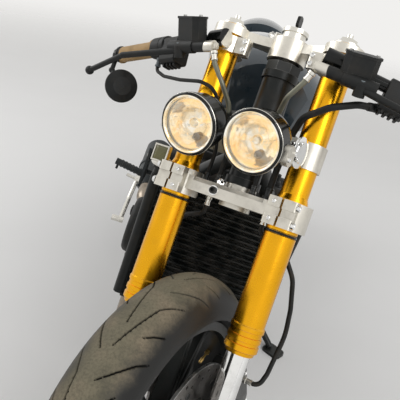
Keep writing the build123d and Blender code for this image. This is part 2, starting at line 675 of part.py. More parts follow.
# Each hose and cable runs as points of its route, the radii of its bends and its own radius. They end
# on the lower yoke's web, under it, or at the part that they serve.
CALIPER_ROUTE = [
    (60, 40, WEB_BASE - PLAY),
    (60, 40, WEB_BASE - 33),
    (108, 60, WEB_BASE - 49),
    (138, 74, 345),
    (148, 92, 290),
    (150, 112, 238),
    (144, 104, 160),
    (138, 96, 134),
    (CALIPER_OUT + PLAY, 96, 134),
]
MASTER_ROUTE = [
    (92, -73, 678),
    (84, -72, 660),
    (62, -64, 632),
    (48, -40, 604),
    (46, -12, 574),
    (36, 0, WEB_TOP + 56),
    (36, 0, WEB_TOP + PLAY),
]
THROTTLE_ROUTE = [
    (-256, 13, 668),
    (-254, 11, 644),
    (-226, 2, 634),
    (-170, -26, 628),
    (-116, -44, 630),
    (-84, -40, 624),
    (-74, -14, 590),
    (-64, 8, WEB_TOP + 60),
    (-64, 8, WEB_TOP + PLAY),
]
LOOM_ROUTE = [
    (192, -4, 664),
    (170, -30, 656),
    (132, -44, 638),
    (92, -40, 612),
    (74, -12, 584),
    (62, 8, WEB_TOP + 60),
    (62, 8, WEB_TOP + PLAY),
]
with BuildPart() as hoses:
    tube(CALIPER_ROUTE, [14, 40, 60, 80, 80, 24, 16], 4.5)
    tube(MASTER_ROUTE, [24, 28, 28, 40, 60], 4.5)
    mirror(about=Plane.YZ)
    tube(THROTTLE_ROUTE, [14, 30, 60, 30, 28, 60, 60], 3.5)
    tube(LOOM_ROUTE, [24, 40, 30, 30, 60], 6)

# Wheels


def make_tyre(centre, radius, width, rim):
    """A tyre: beads between the rim's flanges, bulged walls and a round crown."""
    inner = rim / 2 - 6
    half = width / 2
    crown = radius - half
    seat = RIM_SEAT + PLAY
    lip = RIM_SEAT + FLANGE + 1
    diagonal = half * math.sqrt(0.5)
    with BuildSketch(Plane(origin=centre, x_dir=(1, 0, 0), z_dir=(0, -1, 0))) as section:
        with BuildLine():
            Line((-inner, seat), (inner, seat))
            Line((inner, seat), (inner, lip))
            Line((inner, lip), (half, crown))
            ThreePointArc((half, crown), (diagonal, crown + diagonal), (0, radius))
            ThreePointArc((0, radius), (-diagonal, crown + diagonal), (-half, crown))
            Line((-half, crown), (-inner, lip))
            Line((-inner, lip), (-inner, seat))
        make_face()
    revolve(section.sketch, axis=Axis(centre, (1, 0, 0)))


def make_rim(centre, rim, hub, bore):
    """A cast wheel: rim barrel with flanges, pairs of spokes and a hub with its bore."""
    half = rim / 2
    section_plane = Plane(origin=centre, x_dir=(1, 0, 0), z_dir=(0, -1, 0))
    with BuildSketch(section_plane) as section:
        with BuildLine():
            Polyline(
                (-half, RIM_SEAT - 6),
                (-half + 12, RIM_SEAT - 10),
                (half - 12, RIM_SEAT - 10),
                (half, RIM_SEAT - 6),
                (half, RIM_SEAT + FLANGE),
                (half - 5, RIM_SEAT + FLANGE),
                (half - 5, RIM_SEAT),
                (-half + 5, RIM_SEAT),
                (-half + 5, RIM_SEAT + FLANGE),
                (-half, RIM_SEAT + FLANGE),
                close=True,
            )
        make_face()
    revolve(section.sketch, axis=Axis(centre, (1, 0, 0)))
    # The hub: a barrel with a wider flange at each end
    rod(centre - LEFT * hub, centre + LEFT * hub, HUB_RADIUS)
    for side in (-1, 1):
        rod(centre + LEFT * side * (hub - 12), centre + LEFT * side * hub, HUB_RADIUS + 4)
    for spoke in range(SPOKES):
        for side in (-9, 9):
            angle = WHEEL_TURN + 360 / SPOKES * spoke + side
            radial = Vector(0, math.cos(math.radians(angle)), math.sin(math.radians(angle)))
            reach = centre + radial * (RIM_SEAT - 8)
            with BuildSketch(Plane(origin=centre + radial * 30, x_dir=(1, 0, 0), z_dir=radial)) as foot:
                RectangleRounded(40, 20, 6)
            with BuildSketch(Plane(origin=reach, x_dir=(1, 0, 0), z_dir=radial)) as tip:
                RectangleRounded(28, 14, 4)
            loft([foot.sketch.face(), tip.sketch.face()])
    rod(centre - LEFT * (hub + 1), centre + LEFT * (hub + 1), bore, mode=Mode.SUBTRACT)


def make_disc(centre, x, outer, band, windows):
    """A brake disc: a drilled band on a carrier whose windows leave arms, seated on the hub's end."""
    face = centre + LEFT * (x - DISC_THICK / 2)
    mount = outer - band
    middle = (mount + HUB_RADIUS) / 2 + 4
    width = (mount - HUB_RADIUS) * 0.3
    length = 2 * math.pi * (middle - width / 2) / windows - 10
    with BuildSketch(Plane(origin=face, x_dir=(0, 1, 0), z_dir=(1, 0, 0))) as section:
        Circle(outer)
        with PolarLocations(middle, windows, start_angle=WHEEL_TURN):
            SlotOverall(length, width, rotation=90, mode=Mode.SUBTRACT)
        with PolarLocations(outer - band * 0.33, DISC_HOLES):
            Circle(3.5, mode=Mode.SUBTRACT)
        with PolarLocations(outer - band * 0.67, DISC_HOLES, start_angle=180 / DISC_HOLES):
            Circle(3.5, mode=Mode.SUBTRACT)
        Circle(24, mode=Mode.SUBTRACT)
    extrude(section.sketch, amount=DISC_THICK)


ORIGIN = Vector(0, 0, 0)
with BuildPart() as front_tyre:
    make_tyre(ORIGIN, FRONT_RADIUS, FRONT_WIDTH, FRONT_RIM_WIDTH)

with BuildPart() as front_rim:
    make_rim(ORIGIN, FRONT_RIM_WIDTH, FRONT_DISC_X - DISC_THICK / 2 - PLAY, AXLE_RADIUS + PLAY)

with BuildPart() as front_discs:
    make_disc(ORIGIN, FRONT_DISC_X, FRONT_DISC_RADIUS, 36, 8)
    mirror(about=Plane.YZ)

# Body pieces, in the body frame
HEAD_LOW = moved(FORK, Vector(0, FORK_OFFSET, LOWER_YOKE_TOP + PLAY))
HEAD_TOP = moved(FORK, Vector(0, FORK_OFFSET, COLLAR_BASE - PLAY))
HEAD_RUN = (HEAD_TOP - HEAD_LOW).normalized()
SPAR_START = moved(FORK, Vector(24, FORK_OFFSET, LOWER_YOKE_TOP + 125))
DOWN_START = moved(FORK, Vector(20, FORK_OFFSET, LOWER_YOKE_TOP + 57))
PLATE_IN = RAIL_X - PLATE_THICK / 2
PLATE_OUT = RAIL_X + PLATE_THICK / 2
UPRIGHT_Y = PIVOT_Y - 10
PIVOT_SIDE = RAIL_X + 20
CROSS_RADIUS = 11.0
DOWN_Y = RADIATOR_FRONT + RADIATOR_DEPTH + 54
DOWN_BEND_Z = 655.0
TAIL_Y = REAR_AXLE.Y - 80

with BuildPart() as frame:
    # Spars from the head to the uprights that carry the swingarm
    tube(
        [SPAR_START, (104, -335, 778), (128, 60, 690), (RAIL_X, UPRIGHT_Y, 560), (RAIL_X, UPRIGHT_Y, 270)],
        [60, 90, 50],
        FRAME_TUBE,
    )
    side_plate(
        [
            (PIVOT_Y - 40, 250),
            (PIVOT_Y + 25, 250),
            (PIVOT_Y + 37, 380),
            (PIVOT_Y - 10, 430),
            (PIVOT_Y - 35, 400),
        ],
        PLATE_IN,
        PLATE_OUT,
    )
    # Down tubes and lower rails round the engine
    tube(
        [
            DOWN_START,
            (82, DOWN_Y - 33, DOWN_BEND_Z),
            (CRADLE_X, DOWN_Y, 300),
            (CRADLE_X, DOWN_Y + 22, CRADLE_Z),
            (CRADLE_X, PIVOT_Y - 115, CRADLE_Z),
            (RAIL_X, UPRIGHT_Y, 270),
        ],
        [60, 60, 40, 60],
        FRAME_TUBE,
    )
    # Seat rails and their struts
    tube(
        [(127, 40, 692), (120, 180, 775), (100, 420, RAIL_Z), (85, TAIL_Y, RAIL_Z)],
        [90, 200],
        RAIL_RADIUS,
    )
    rod((RAIL_X, UPRIGHT_Y, 470), (98, 430, RAIL_Z), 10)
    mirror(about=Plane.YZ)
    rod(HEAD_LOW, HEAD_TOP, HEAD_RADIUS)
    rod(HEAD_LOW, HEAD_LOW + HEAD_RUN * 14, HEAD_RADIUS + 4)
    rod(HEAD_TOP - HEAD_RUN * 14, HEAD_TOP, HEAD_RADIUS + 4)
    # Cross tubes: below the tank, at the shock's top and between the pivot plates
    rod((-112, -200, 748), (112, -200, 748), CROSS_RADIUS)
    rod((-RAIL_X, UPRIGHT_Y, 520), (RAIL_X, UPRIGHT_Y, 520), CROSS_RADIUS)
    rod((0, -200, 748), (0, -200, TANK_BASE - PLAY), 14)
    rod((-CRADLE_X, 60, CRADLE_Z), (CRADLE_X, 60, CRADLE_Z), CROSS_RADIUS)
    rod((-85, TAIL_Y, RAIL_Z), (85, TAIL_Y, RAIL_Z), RAIL_RADIUS)
    # The stand's lug and pin
    stand_lug = STAND_PIVOT - STAND_AXIS * 19.5
    rod((CRADLE_X, STAND_PIVOT.Y, CRADLE_Z), stand_lug, 8)
    rod(STAND_PIVOT - STAND_AXIS * 24, STAND_PIVOT - STAND_AXIS * 11.3, 15)
    rod(STAND_PIVOT - STAND_AXIS * 20, STAND_PIVOT + STAND_AXIS * 14, STAND_PIN)
    rod((-PIVOT_SIDE, PIVOT_Y, PIVOT_Z), (PIVOT_SIDE, PIVOT_Y, PIVOT_Z), PIVOT_RADIUS + FIT, Mode.SUBTRACT)
    rod(HEAD_LOW - HEAD_RUN, HEAD_TOP + HEAD_RUN, STEM_RADIUS + PLAY, Mode.SUBTRACT)

PIVOT_TUBE = RAIL_X - FRAME_TUBE - PLAY
PIVOT_END = RAIL_X + FRAME_TUBE
ARM_END = REAR_AXLE.Y + 45
SPOOL_Y = REAR_AXLE.Y - 58
ARM_LOW = PIVOT_Z - ARM_HEIGHT / 2 - 1
SPOOL_LENGTH = ARM_OUT + SPOOL_BOSS - ARM_IN
LEFT_SPOOL = Vector(ARM_OUT + SPOOL_BOSS, SPOOL_Y, PIVOT_Z - 4)
RIGHT_SPOOL = Vector(-LEFT_SPOOL.X, SPOOL_Y + SPOOL_BACK, LEFT_SPOOL.Z - SPOOL_DROP)
with BuildPart() as swingarm:
    with BuildSketch(Plane.XY.offset(ARM_LOW)):
        with BuildLine():
            Polyline(
                (60, PIVOT_Y - 12),
                (104, PIVOT_Y - 12),
                (112, PIVOT_Y + 65),
                (ARM_OUT, PIVOT_Y + 175),
                (ARM_OUT, ARM_END),
                (ARM_IN, ARM_END),
                (ARM_IN, PIVOT_Y + 205),
                (80, PIVOT_Y + 125),
                (60, PIVOT_Y + 125),
                close=True,
            )
        make_face()
    extrude(amount=ARM_HEIGHT)
    # The arms taper in side view towards the axle's end
    taper = [(PIVOT_Y + 200, ARM_LOW - 1), (ARM_END - 60, ARM_LOW + 8), (ARM_END + 1, ARM_LOW + 8)]
    side_plate(taper + [(ARM_END + 1, ARM_LOW - 1)], ARM_IN - 1, ARM_OUT + 1, Mode.SUBTRACT)
    # A pocket in each outer face
    side_plate(
        [
            (PIVOT_Y + 215, PIVOT_Z - 10),
            (SPOOL_Y - 40, PIVOT_Z - 8),
            (SPOOL_Y - 40, PIVOT_Z + 10),
            (PIVOT_Y + 215, PIVOT_Z + 12),
        ],
        ARM_OUT - 3,
        ARM_OUT + 1,
        Mode.SUBTRACT,
    )
    mirror(about=Plane.YZ)
    # The threaded holes for a stand's bobbins go through the arms. They don't share one line
    for seat, out in ((LEFT_SPOOL, LEFT), (RIGHT_SPOOL, -LEFT)):
        rod(seat - out * SPOOL_BOSS, seat, 9)
        rod(seat - out * (SPOOL_LENGTH + 1), seat + out, SPOOL_BORE / 2, Mode.SUBTRACT)
    slab((-90, PIVOT_Y + 65, PIVOT_Z - 22), (90, PIVOT_Y + 125, PIVOT_Z + 20))
    slab((-18, SHOCK_Y - 10, PIVOT_Z + 10), (18, SHOCK_Y + 10, PIVOT_Z + 34))
    rod((-18, SHOCK_Y, PIVOT_Z + 34), (18, SHOCK_Y, PIVOT_Z + 34), 12)
    rod((-PIVOT_TUBE, PIVOT_Y, PIVOT_Z), (PIVOT_TUBE, PIVOT_Y, PIVOT_Z), 21)
    rod((-PIVOT_SIDE, PIVOT_Y, PIVOT_Z), (PIVOT_SIDE, PIVOT_Y, PIVOT_Z), PIVOT_RADIUS + FIT, Mode.SUBTRACT)
    arm_side = LEFT * (ARM_OUT + 5)
    rod(REAR_AXLE - arm_side, REAR_AXLE + arm_side, REAR_AXLE_RADIUS + FIT, Mode.SUBTRACT)

with BuildPart() as swingarm_pivot:
    rod((-PIVOT_END - 5, PIVOT_Y, PIVOT_Z), (PIVOT_END + 5, PIVOT_Y, PIVOT_Z), PIVOT_RADIUS)

AXLE_OUT = LEFT * (ARM_OUT + 14)
with BuildPart() as rear_axle:
    rod(REAR_AXLE - AXLE_OUT, REAR_AXLE + AXLE_OUT, REAR_AXLE_RADIUS)
    rod(REAR_AXLE + LEFT * (ARM_OUT + PLAY), REAR_AXLE + AXLE_OUT, REAR_AXLE_RADIUS + 6)
    rod(REAR_AXLE - AXLE_OUT, REAR_AXLE - LEFT * (ARM_OUT + PLAY), REAR_AXLE_RADIUS + 6)
    rod(REAR_AXLE - AXLE_OUT - LEFT, REAR_AXLE + AXLE_OUT + LEFT, REAR_AXLE_BORE / 2, Mode.SUBTRACT)

SHOCK_TOP = Vector(0, UPRIGHT_Y, 520)
SHOCK_LOW = Vector(0, SHOCK_Y, PIVOT_Z + 34)
SHOCK_RUN = (SHOCK_LOW - SHOCK_TOP).normalized()
SHOCK_LENGTH = (SHOCK_LOW - SHOCK_TOP).length - CROSS_RADIUS - 12 - 2 * PLAY
COIL_TURNS = 7
COIL_START = 20.0
COIL_PITCH = (SHOCK_LENGTH - 2 * COIL_START) / COIL_TURNS
with BuildPart() as rear_shock:
    # A damper's rod and cups, with the spring's turns as rings round it
    shock_profile = [(0, 0), (0, 11), (COIL_START - 6, 11), (COIL_START - 6, 31), (COIL_START, 31)]
    for coil in range(COIL_TURNS):
        start = COIL_START + coil * COIL_PITCH
        shock_profile += [(start, 22), (start + 1, 22), (start + 3, 30), (start + COIL_PITCH - 4, 30)]
        shock_profile += [(start + COIL_PITCH - 2, 22)]
    coil_end = SHOCK_LENGTH - COIL_START
    shock_profile += [(coil_end, 22), (coil_end, 31), (coil_end + 6, 31), (coil_end + 6, 11)]
    shock_profile += [(SHOCK_LENGTH, 11), (SHOCK_LENGTH, 0)]
    turning(SHOCK_TOP + SHOCK_RUN * (CROSS_RADIUS + PLAY), SHOCK_RUN, shock_profile)

CRANK_BASE = CRADLE_Z + FRAME_TUBE + PLAY
CASE_HALF = CASE_WIDTH / 2
GEAR_HALF = 84.0
CASE_BREAK = ENGINE_BACK - 98
with BuildPart() as crankcase:
    side_plate(
        [
            (ENGINE_FRONT, CASE_TOP - 150),
            (ENGINE_FRONT + 40, CRANK_BASE),
            (CASE_BREAK, CRANK_BASE),
            (CASE_BREAK, CASE_TOP + 15),
            (ENGINE_FRONT + 176, CASE_TOP + 15),
            (ENGINE_FRONT + 176, CASE_TOP),
            (ENGINE_FRONT, CASE_TOP),
        ],
        -CASE_HALF,
        CASE_HALF,
    )
    side_plate(
        [
            (CASE_BREAK, CRANK_BASE),
            (ENGINE_BACK - 18, 240),
            (ENGINE_BACK, DRIVE_Z - 10),
            (ENGINE_BACK - 18, CASE_TOP),
            (CASE_BREAK, CASE_TOP),
        ],
        -GEAR_HALF,
        GEAR_HALF,
    )
    # The split between the case halves, the sump between the lower rails and the oil filter in front
    side_plate(
        [
            (ENGINE_FRONT - 4, 300),
            (CASE_BREAK + 4, 300),
            (CASE_BREAK + 4, 308),
            (ENGINE_FRONT - 4, 308),
        ],
        -CASE_HALF - 4,
        CASE_HALF + 4,
    )
    with BuildSketch(Plane.XY.offset(CRANK_BASE)):
        with Locations((0, ENGINE_FRONT + 160)):
            RectangleRounded(124, 200, 20)
    extrude(amount=-44, taper=12)
    rod((0, ENGINE_FRONT + 20, 275), (0, ENGINE_FRONT - 38, 275), 31)

BARREL_BACK = ENGINE_FRONT + 170
HEAD_BASE = CASE_TOP + BARREL_HEIGHT
with BuildPart() as cylinders:
    slab((-140, ENGINE_FRONT + 18, CASE_TOP + FIT), (140, BARREL_BACK - 10, HEAD_BASE))
    for fin in range(int(BARREL_HEIGHT / FIN_PITCH)):
        with BuildSketch(Plane.XY.offset(CASE_TOP + 6 + fin * FIN_PITCH)):
            with Locations((0, (ENGINE_FRONT + 8 + BARREL_BACK) / 2)):
                RectangleRounded(296, BARREL_BACK - ENGINE_FRONT - 8, 14)
        extrude(amount=6)

HEAD_TOP_Z = HEAD_BASE + HEAD_HEIGHT
CAM_RADIUS = 34.0
CAM_FRONT = ENGINE_FRONT + 46
CAM_BACK = BARREL_BACK - 40
with BuildPart() as cylinder_head:
    slab((-HEAD_WIDTH / 2, ENGINE_FRONT, HEAD_BASE + FIT), (HEAD_WIDTH / 2, BARREL_BACK + 4, HEAD_TOP_Z))
    # The cam cover: a round housing over each camshaft and the saddle between them
    cover = HEAD_WIDTH / 2 - 7
    for y in (CAM_FRONT, CAM_BACK):
        rod((-cover, y, HEAD_TOP_Z + 16), (cover, y, HEAD_TOP_Z + 16), CAM_RADIUS)
    slab((-cover, CAM_FRONT, HEAD_TOP_Z), (cover, CAM_BACK, HEAD_TOP_Z + 36))
    for x in (-120, -40, 40, 120):
        rod((x, (CAM_FRONT + CAM_BACK) / 2, HEAD_TOP_Z), (x, (CAM_FRONT + CAM_BACK) / 2, HEAD_TOP_Z + 44), 17)

CLUTCH_Y = ENGINE_FRONT + 200
CLUTCH_RADIUS = 98.0
ROTOR_Y = ENGINE_FRONT + 130
with BuildPart() as engine_covers:
    # The clutch cover bulges on the right, with its rim, dome and level plug
    with BuildSketch(Plane.YZ.offset(-CASE_HALF - 4 - FIT)):
        with Locations((CLUTCH_Y, 322)):
            Circle(CLUTCH_RADIUS)
    extrude(amount=-10)
    with BuildSketch(Plane.YZ.offset(-CASE_HALF - 14)):
        with Locations((CLUTCH_Y, 322)):
            Circle(CLUTCH_RADIUS - 8)
    extrude(amount=-44, taper=14)
    fillet(engine_covers.edges().filter_by(GeomType.CIRCLE).sort_by(Axis.X)[0], 16)
    rod((-CASE_HALF - 5, CLUTCH_Y - 10, 232), (-CASE_HALF - 36, CLUTCH_Y - 10, 214), 12)
    # The rotor's cover on the left
    with BuildSketch(Plane.YZ.offset(CASE_HALF + 4 + FIT)):
        with Locations((ROTOR_Y, 310)):
            Circle(76)
    extrude(amount=8)
    with BuildSketch(Plane.YZ.offset(CASE_HALF + 12)):
        with Locations((ROTOR_Y, 310)):
            Circle(68)
    extrude(amount=34, taper=14)
    fillet(engine_covers.edges().filter_by(GeomType.CIRCLE).sort_by(Axis.X)[-1], 12)

INTAKE_Z = HEAD_BASE + 47
INTAKE_Y = BARREL_BACK + 4 + FIT
with BuildPart() as intakes:
    # Four carburettors in a row, each with its stub, float bowl and cone filter
    for x in (-82, -27, 27, 82):
        rod((x, INTAKE_Y, INTAKE_Z), (x, INTAKE_Y + 30, INTAKE_Z), 20)
        slab((x - 20, INTAKE_Y + 28, INTAKE_Z - 24), (x + 20, INTAKE_Y + 72, INTAKE_Z + 30))
        slab((x - 16, INTAKE_Y + 34, INTAKE_Z - 46), (x + 16, INTAKE_Y + 66, INTAKE_Z - 24))
        rod((x, INTAKE_Y + 50, INTAKE_Z + 30), (x, INTAKE_Y + 50, INTAKE_Z + 46), 16)
        turning(
            Vector(x, INTAKE_Y + 72, INTAKE_Z),
            Vector(0, 1, 0),
            [(0, 0), (0, 25), (10, 26), (58, 21), (60, 19), (60, 0)],
        )
    rod((-100, INTAKE_Y + 50, INTAKE_Z), (100, INTAKE_Y + 50, INTAKE_Z), 6)

RADIATOR_BACK = RADIATOR_FRONT + RADIATOR_DEPTH
RADIATOR_BASE = 335.0
RADIATOR_TOP = 640.0
CORE_HALF = 146.0
TANK_HALF = 172.0
with BuildPart() as radiator:
    slab((-CORE_HALF, RADIATOR_FRONT + 8, RADIATOR_BASE), (CORE_HALF, RADIATOR_BACK - 6, RADIATOR_TOP))
    for side in (-1, 1):
        with BuildSketch(Plane.XY.offset(RADIATOR_BASE)):
            with Locations((side * (CORE_HALF + TANK_HALF) / 2, RADIATOR_FRONT + RADIATOR_DEPTH / 2)):
                RectangleRounded(TANK_HALF - CORE_HALF + 1, RADIATOR_DEPTH, 10)
        extrude(amount=RADIATOR_TOP - RADIATOR_BASE)
    # The grille's slats, and the top and bottom frames
    slat_pitch = 13.0
    for slat in range(int((RADIATOR_TOP - RADIATOR_BASE) / slat_pitch)):
        low = RADIATOR_BASE + 4 + slat * slat_pitch
        slab((-CORE_HALF, RADIATOR_FRONT + 2, low), (CORE_HALF, RADIATOR_FRONT + 10, low + 3))
    for low in (RADIATOR_BASE - 5, RADIATOR_TOP - 2):
        slab((-CORE_HALF - 8, RADIATOR_FRONT, low), (CORE_HALF + 8, RADIATOR_BACK, low + 7))
    # Bosses that meet the down tubes, the filler neck and the hose stubs
    for side in (-1, 1):
        x = 82 * side
        rod((x, RADIATOR_BACK - 8, 590), (x, DOWN_Y - 33 - FRAME_TUBE - 1, 590), 8)
    rod((-159, RADIATOR_BACK - 18, RADIATOR_TOP), (-159, RADIATOR_BACK - 18, RADIATOR_TOP + 16), 12)
    rod((-159, RADIATOR_BACK - 18, RADIATOR_TOP + 16), (-159, RADIATOR_BACK - 18, RADIATOR_TOP + 24), 16)
    rod((159, RADIATOR_BACK - 12, 610), (159, RADIATOR_BACK + 26, 610), 13)
    rod((-159, RADIATOR_BACK - 12, 362), (-159, RADIATOR_BACK + 26, 362), 13)

PORT_Z = HEAD_BASE + 32
PIPE_FRONT = ENGINE_FRONT - 78
PIPE_LOW = 140.0
MUFFLER_START = Vector(-212, 345, 266)
MUFFLER_END = Vector(-224, REAR_AXLE.Y - 105, 334)
MUFFLER_RUN = (MUFFLER_END - MUFFLER_START).normalized()
with BuildPart() as exhaust_headers:
    # Each pipe's place at its port and where it enters the collector
    for x, low_x in ((135, 58), (40, 20), (-40, -20), (-135, -58)):
        tube(
            [
                (x, ENGINE_FRONT - FIT, PORT_Z),
                (x, PIPE_FRONT, PORT_Z),
                (x, PIPE_FRONT, 160),
                (low_x, -262, PIPE_LOW),
                (low_x * 0.5, -150, PIPE_LOW),
            ],
            [40, 40, 60],
            18,
        )
        rod((x, ENGINE_FRONT - FIT, PORT_Z), (x, ENGINE_FRONT - 9, PORT_Z), 28)
    with BuildSketch(Plane.XZ.offset(170)) as wide:
        with Locations((0, PIPE_LOW)):
            RectangleRounded(96, 56, 20)
    with BuildSketch(Plane.XZ.offset(60)) as narrow:
        with Locations((0, PIPE_LOW)):
            Circle(30)
    loft([wide.sketch.face(), narrow.sketch.face()])
    tube(
        [
            (0, -70, PIPE_LOW),
            (0, 60, PIPE_LOW + 2),
            (-150, 215, 190),
            MUFFLER_START - MUFFLER_RUN * 50,
            MUFFLER_START,
        ],
        [70, 50, 40],
        26,
    )

MUFFLER_LENGTH = (MUFFLER_END - MUFFLER_START).length - PLAY
with BuildPart() as silencer:
    turning(
        MUFFLER_START + MUFFLER_RUN * PLAY,
        MUFFLER_RUN,
        [
            (0, 0),
            (0, 27),
            (34, MUFFLER_RADIUS),
            (MUFFLER_LENGTH - 26, MUFFLER_RADIUS),
            (MUFFLER_LENGTH, MUFFLER_RADIUS - 16),
            (MUFFLER_LENGTH, 20),
            (MUFFLER_LENGTH - 60, 20),
            (MUFFLER_LENGTH - 60, 0),
        ],
    )
    # The strap's band
    turning(
        MUFFLER_START + MUFFLER_RUN * 110,
        MUFFLER_RUN,
        [(0, MUFFLER_RADIUS - 4), (0, MUFFLER_RADIUS + 3), (18, MUFFLER_RADIUS + 3), (18, MUFFLER_RADIUS - 4)],
    )

TANK_FRONT = -300.0
CAP_Y = TANK_FRONT + 150
CAP_HEIGHT = 152.0
with BuildPart() as fuel_tank:
    # Distance behind the tank's front, half width, and heights of the side break and crown over its base
    for back, half, side, crown in (
        (0, 84, 76, 118),
        (30, 118, 82, 140),
        (90, 142, 85, 155),
        (220, 148, 80, 155),
        (360, 108, 70, 125),
        (435, 80, 50, 80),
    ):
        with BuildSketch(Plane.XZ.offset(-TANK_FRONT - back)):
            with BuildLine():
                base = TANK_BASE
                Polyline((half, base + side), (half * 0.84, base), (-half * 0.84, base), (-half, base + side))
                ThreePointArc((-half, base + side), (0, base + crown), (half, base + side))
            make_face()
    loft()
    cap_base = TANK_BASE + CAP_HEIGHT
    rod((0, CAP_Y, cap_base), (0, CAP_Y, cap_base + 40), 33, Mode.SUBTRACT)

with BuildPart() as filler_cap:
    with BuildSketch(Plane.XY.offset(TANK_BASE + CAP_HEIGHT + PLAY)):
        with Locations((0, CAP_Y)):
            Circle(32)
    extrude(amount=10)
    fillet(filler_cap.faces().sort_by(Axis.Z)[-1].edges(), 4)
    with BuildSketch(Plane.XY.offset(TANK_BASE + CAP_HEIGHT + 10 + PLAY)):
        with Locations((0, CAP_Y)):
            SlotOverall(36, 12)
    extrude(amount=5)

SEAT_BASE = RAIL_Z + RAIL_RADIUS + PLAY
SEAT_FRONT = TANK_FRONT + 440
COWL_FRONT = SEAT_FRONT + 300 + PLAY
COWL_BACK = COWL_FRONT + 260
with BuildPart() as seat:
    # Distance behind the seat's front, half width and crown over its base
    for back, half, crown in ((0, 78, 38), (120, 112, 38), (300, 120, 56)):
        with BuildSketch(Plane.XZ.offset(-SEAT_FRONT - back)):
            with BuildLine():
                edge = SEAT_BASE + crown - 22
                Polyline((half, edge), (half, SEAT_BASE), (-half, SEAT_BASE), (-half, edge))
                ThreePointArc((-half, edge), (0, SEAT_BASE + crown), (half, edge))
            make_face()
    loft()

with BuildPart() as tail_cowl:
    # Distance behind the cowl's front, half width and crown over its base
    for back, half, crown in ((0, 120, 112), (90, 110, 124), (190, 84, 108), (260, 58, 82)):
        with BuildSketch(Plane.XZ.offset(-COWL_FRONT - back)):
            with BuildLine():
                edge = SEAT_BASE + crown * 0.46
                Polyline((half, edge), (half * 0.9, SEAT_BASE), (-half * 0.9, SEAT_BASE), (-half, edge))
                ThreePointArc((-half, edge), (0, SEAT_BASE + crown), (half, edge))
            make_face()
    loft()

with BuildPart() as tail_lamp:
    turning(
        Vector(0, COWL_BACK + PLAY, SEAT_BASE + 40),
        Vector(0, 1, 0),
        [(0, 0), (0, 34), (8, 34), (16, 28), (20, 16), (20, 0)],
    )

PEG_X = 228.0
PEG_HALF = 4.0
PEG_ROOT = Vector(PEG_X, 200, 378)
PEG_RUN = Vector(8, 0, 1).normalized()
PEG_LENGTH = 98.0
HANGER = [(150, 352), (258, 352), (262, 400), (216, 482), (170, 482), (150, 420)]
with BuildPart() as footpegs:
    side_plate(HANGER, PEG_X - PEG_HALF, PEG_X + PEG_HALF)
    side_plate([(174, 404), (198, 404), (190, 450), (176, 450)], PEG_X - 5, PEG_X + 5, Mode.SUBTRACT)
    rod((PLATE_OUT + PLAY, PIVOT_Y + 19, 372), (PEG_X, PIVOT_Y + 19, 372), 9)
    rod((RAIL_X + FRAME_TUBE + PLAY, UPRIGHT_Y, 440), (PEG_X, UPRIGHT_Y, 440), 9)
    # The peg with its boss, knurled sleeve and feeler
    rod(PEG_ROOT, PEG_ROOT + PEG_RUN * 16, 14)
    rod(PEG_ROOT + PEG_RUN * 10, PEG_ROOT + PEG_RUN * PEG_LENGTH, 11)
    for ring in range(5):
        start = PEG_ROOT + PEG_RUN * (26 + ring * 12)
        rod(start, start + PEG_RUN * 6, 12.5)
    feeler = PEG_ROOT + PEG_RUN * (PEG_LENGTH - 9)
    rod(feeler, feeler + Vector(2, -4, -23), 4)
    mirror(about=Plane.YZ)

LEVER_X = PEG_X + PEG_HALF + PLAY
with BuildPart() as foot_levers:
    # A pivot boss, the arm that sweeps forward and down, and its toe piece
    rod((LEVER_X, 165, 368), (LEVER_X + 14, 165, 368), 13)
    tube([(LEVER_X + 8, 165, 368), (LEVER_X + 10, 100, 320), (LEVER_X + 8, 10, 296)], [60], 7)
    rod((LEVER_X - 2, 6, 296), (LEVER_X + 34, 4, 296), 9)
    rod((LEVER_X + 10, 165, 368), (LEVER_X + 44, 165, 372), 5)
    mirror(about=Plane.YZ)

# The chain goes round both sprockets at their pitch radius.
REAR_SPROCKET = CHAIN_PITCH / 2 / math.sin(math.pi / REAR_TEETH)
DRIVE_SPROCKET = CHAIN_PITCH / 2 / math.sin(math.pi / DRIVE_TEETH)
DRIVE_Y = ENGINE_BACK - 38
SPAN = Vector(REAR_AXLE.Y - DRIVE_Y, REAR_AXLE.Z - DRIVE_Z)
SLOPE = math.atan2(SPAN.Y, SPAN.X)
SPREAD = math.pi / 2 + math.asin((REAR_SPROCKET - DRIVE_SPROCKET) / SPAN.length)
RUN_LENGTH = math.sqrt(SPAN.length**2 - (REAR_SPROCKET - DRIVE_SPROCKET) ** 2)
FAR_LENGTH = 2 * SPREAD * REAR_SPROCKET
NEAR_LENGTH = 2 * (math.pi - SPREAD) * DRIVE_SPROCKET
LOOP_LENGTH = 2 * RUN_LENGTH + FAR_LENGTH + NEAR_LENGTH
LINKS = 2 * round(LOOP_LENGTH / CHAIN_PITCH / 2)


def around(centre_y, centre_z, radius, angle):
    """A point of a circle in side view."""
    return centre_y + radius * math.cos(angle), centre_z + radius * math.sin(angle)


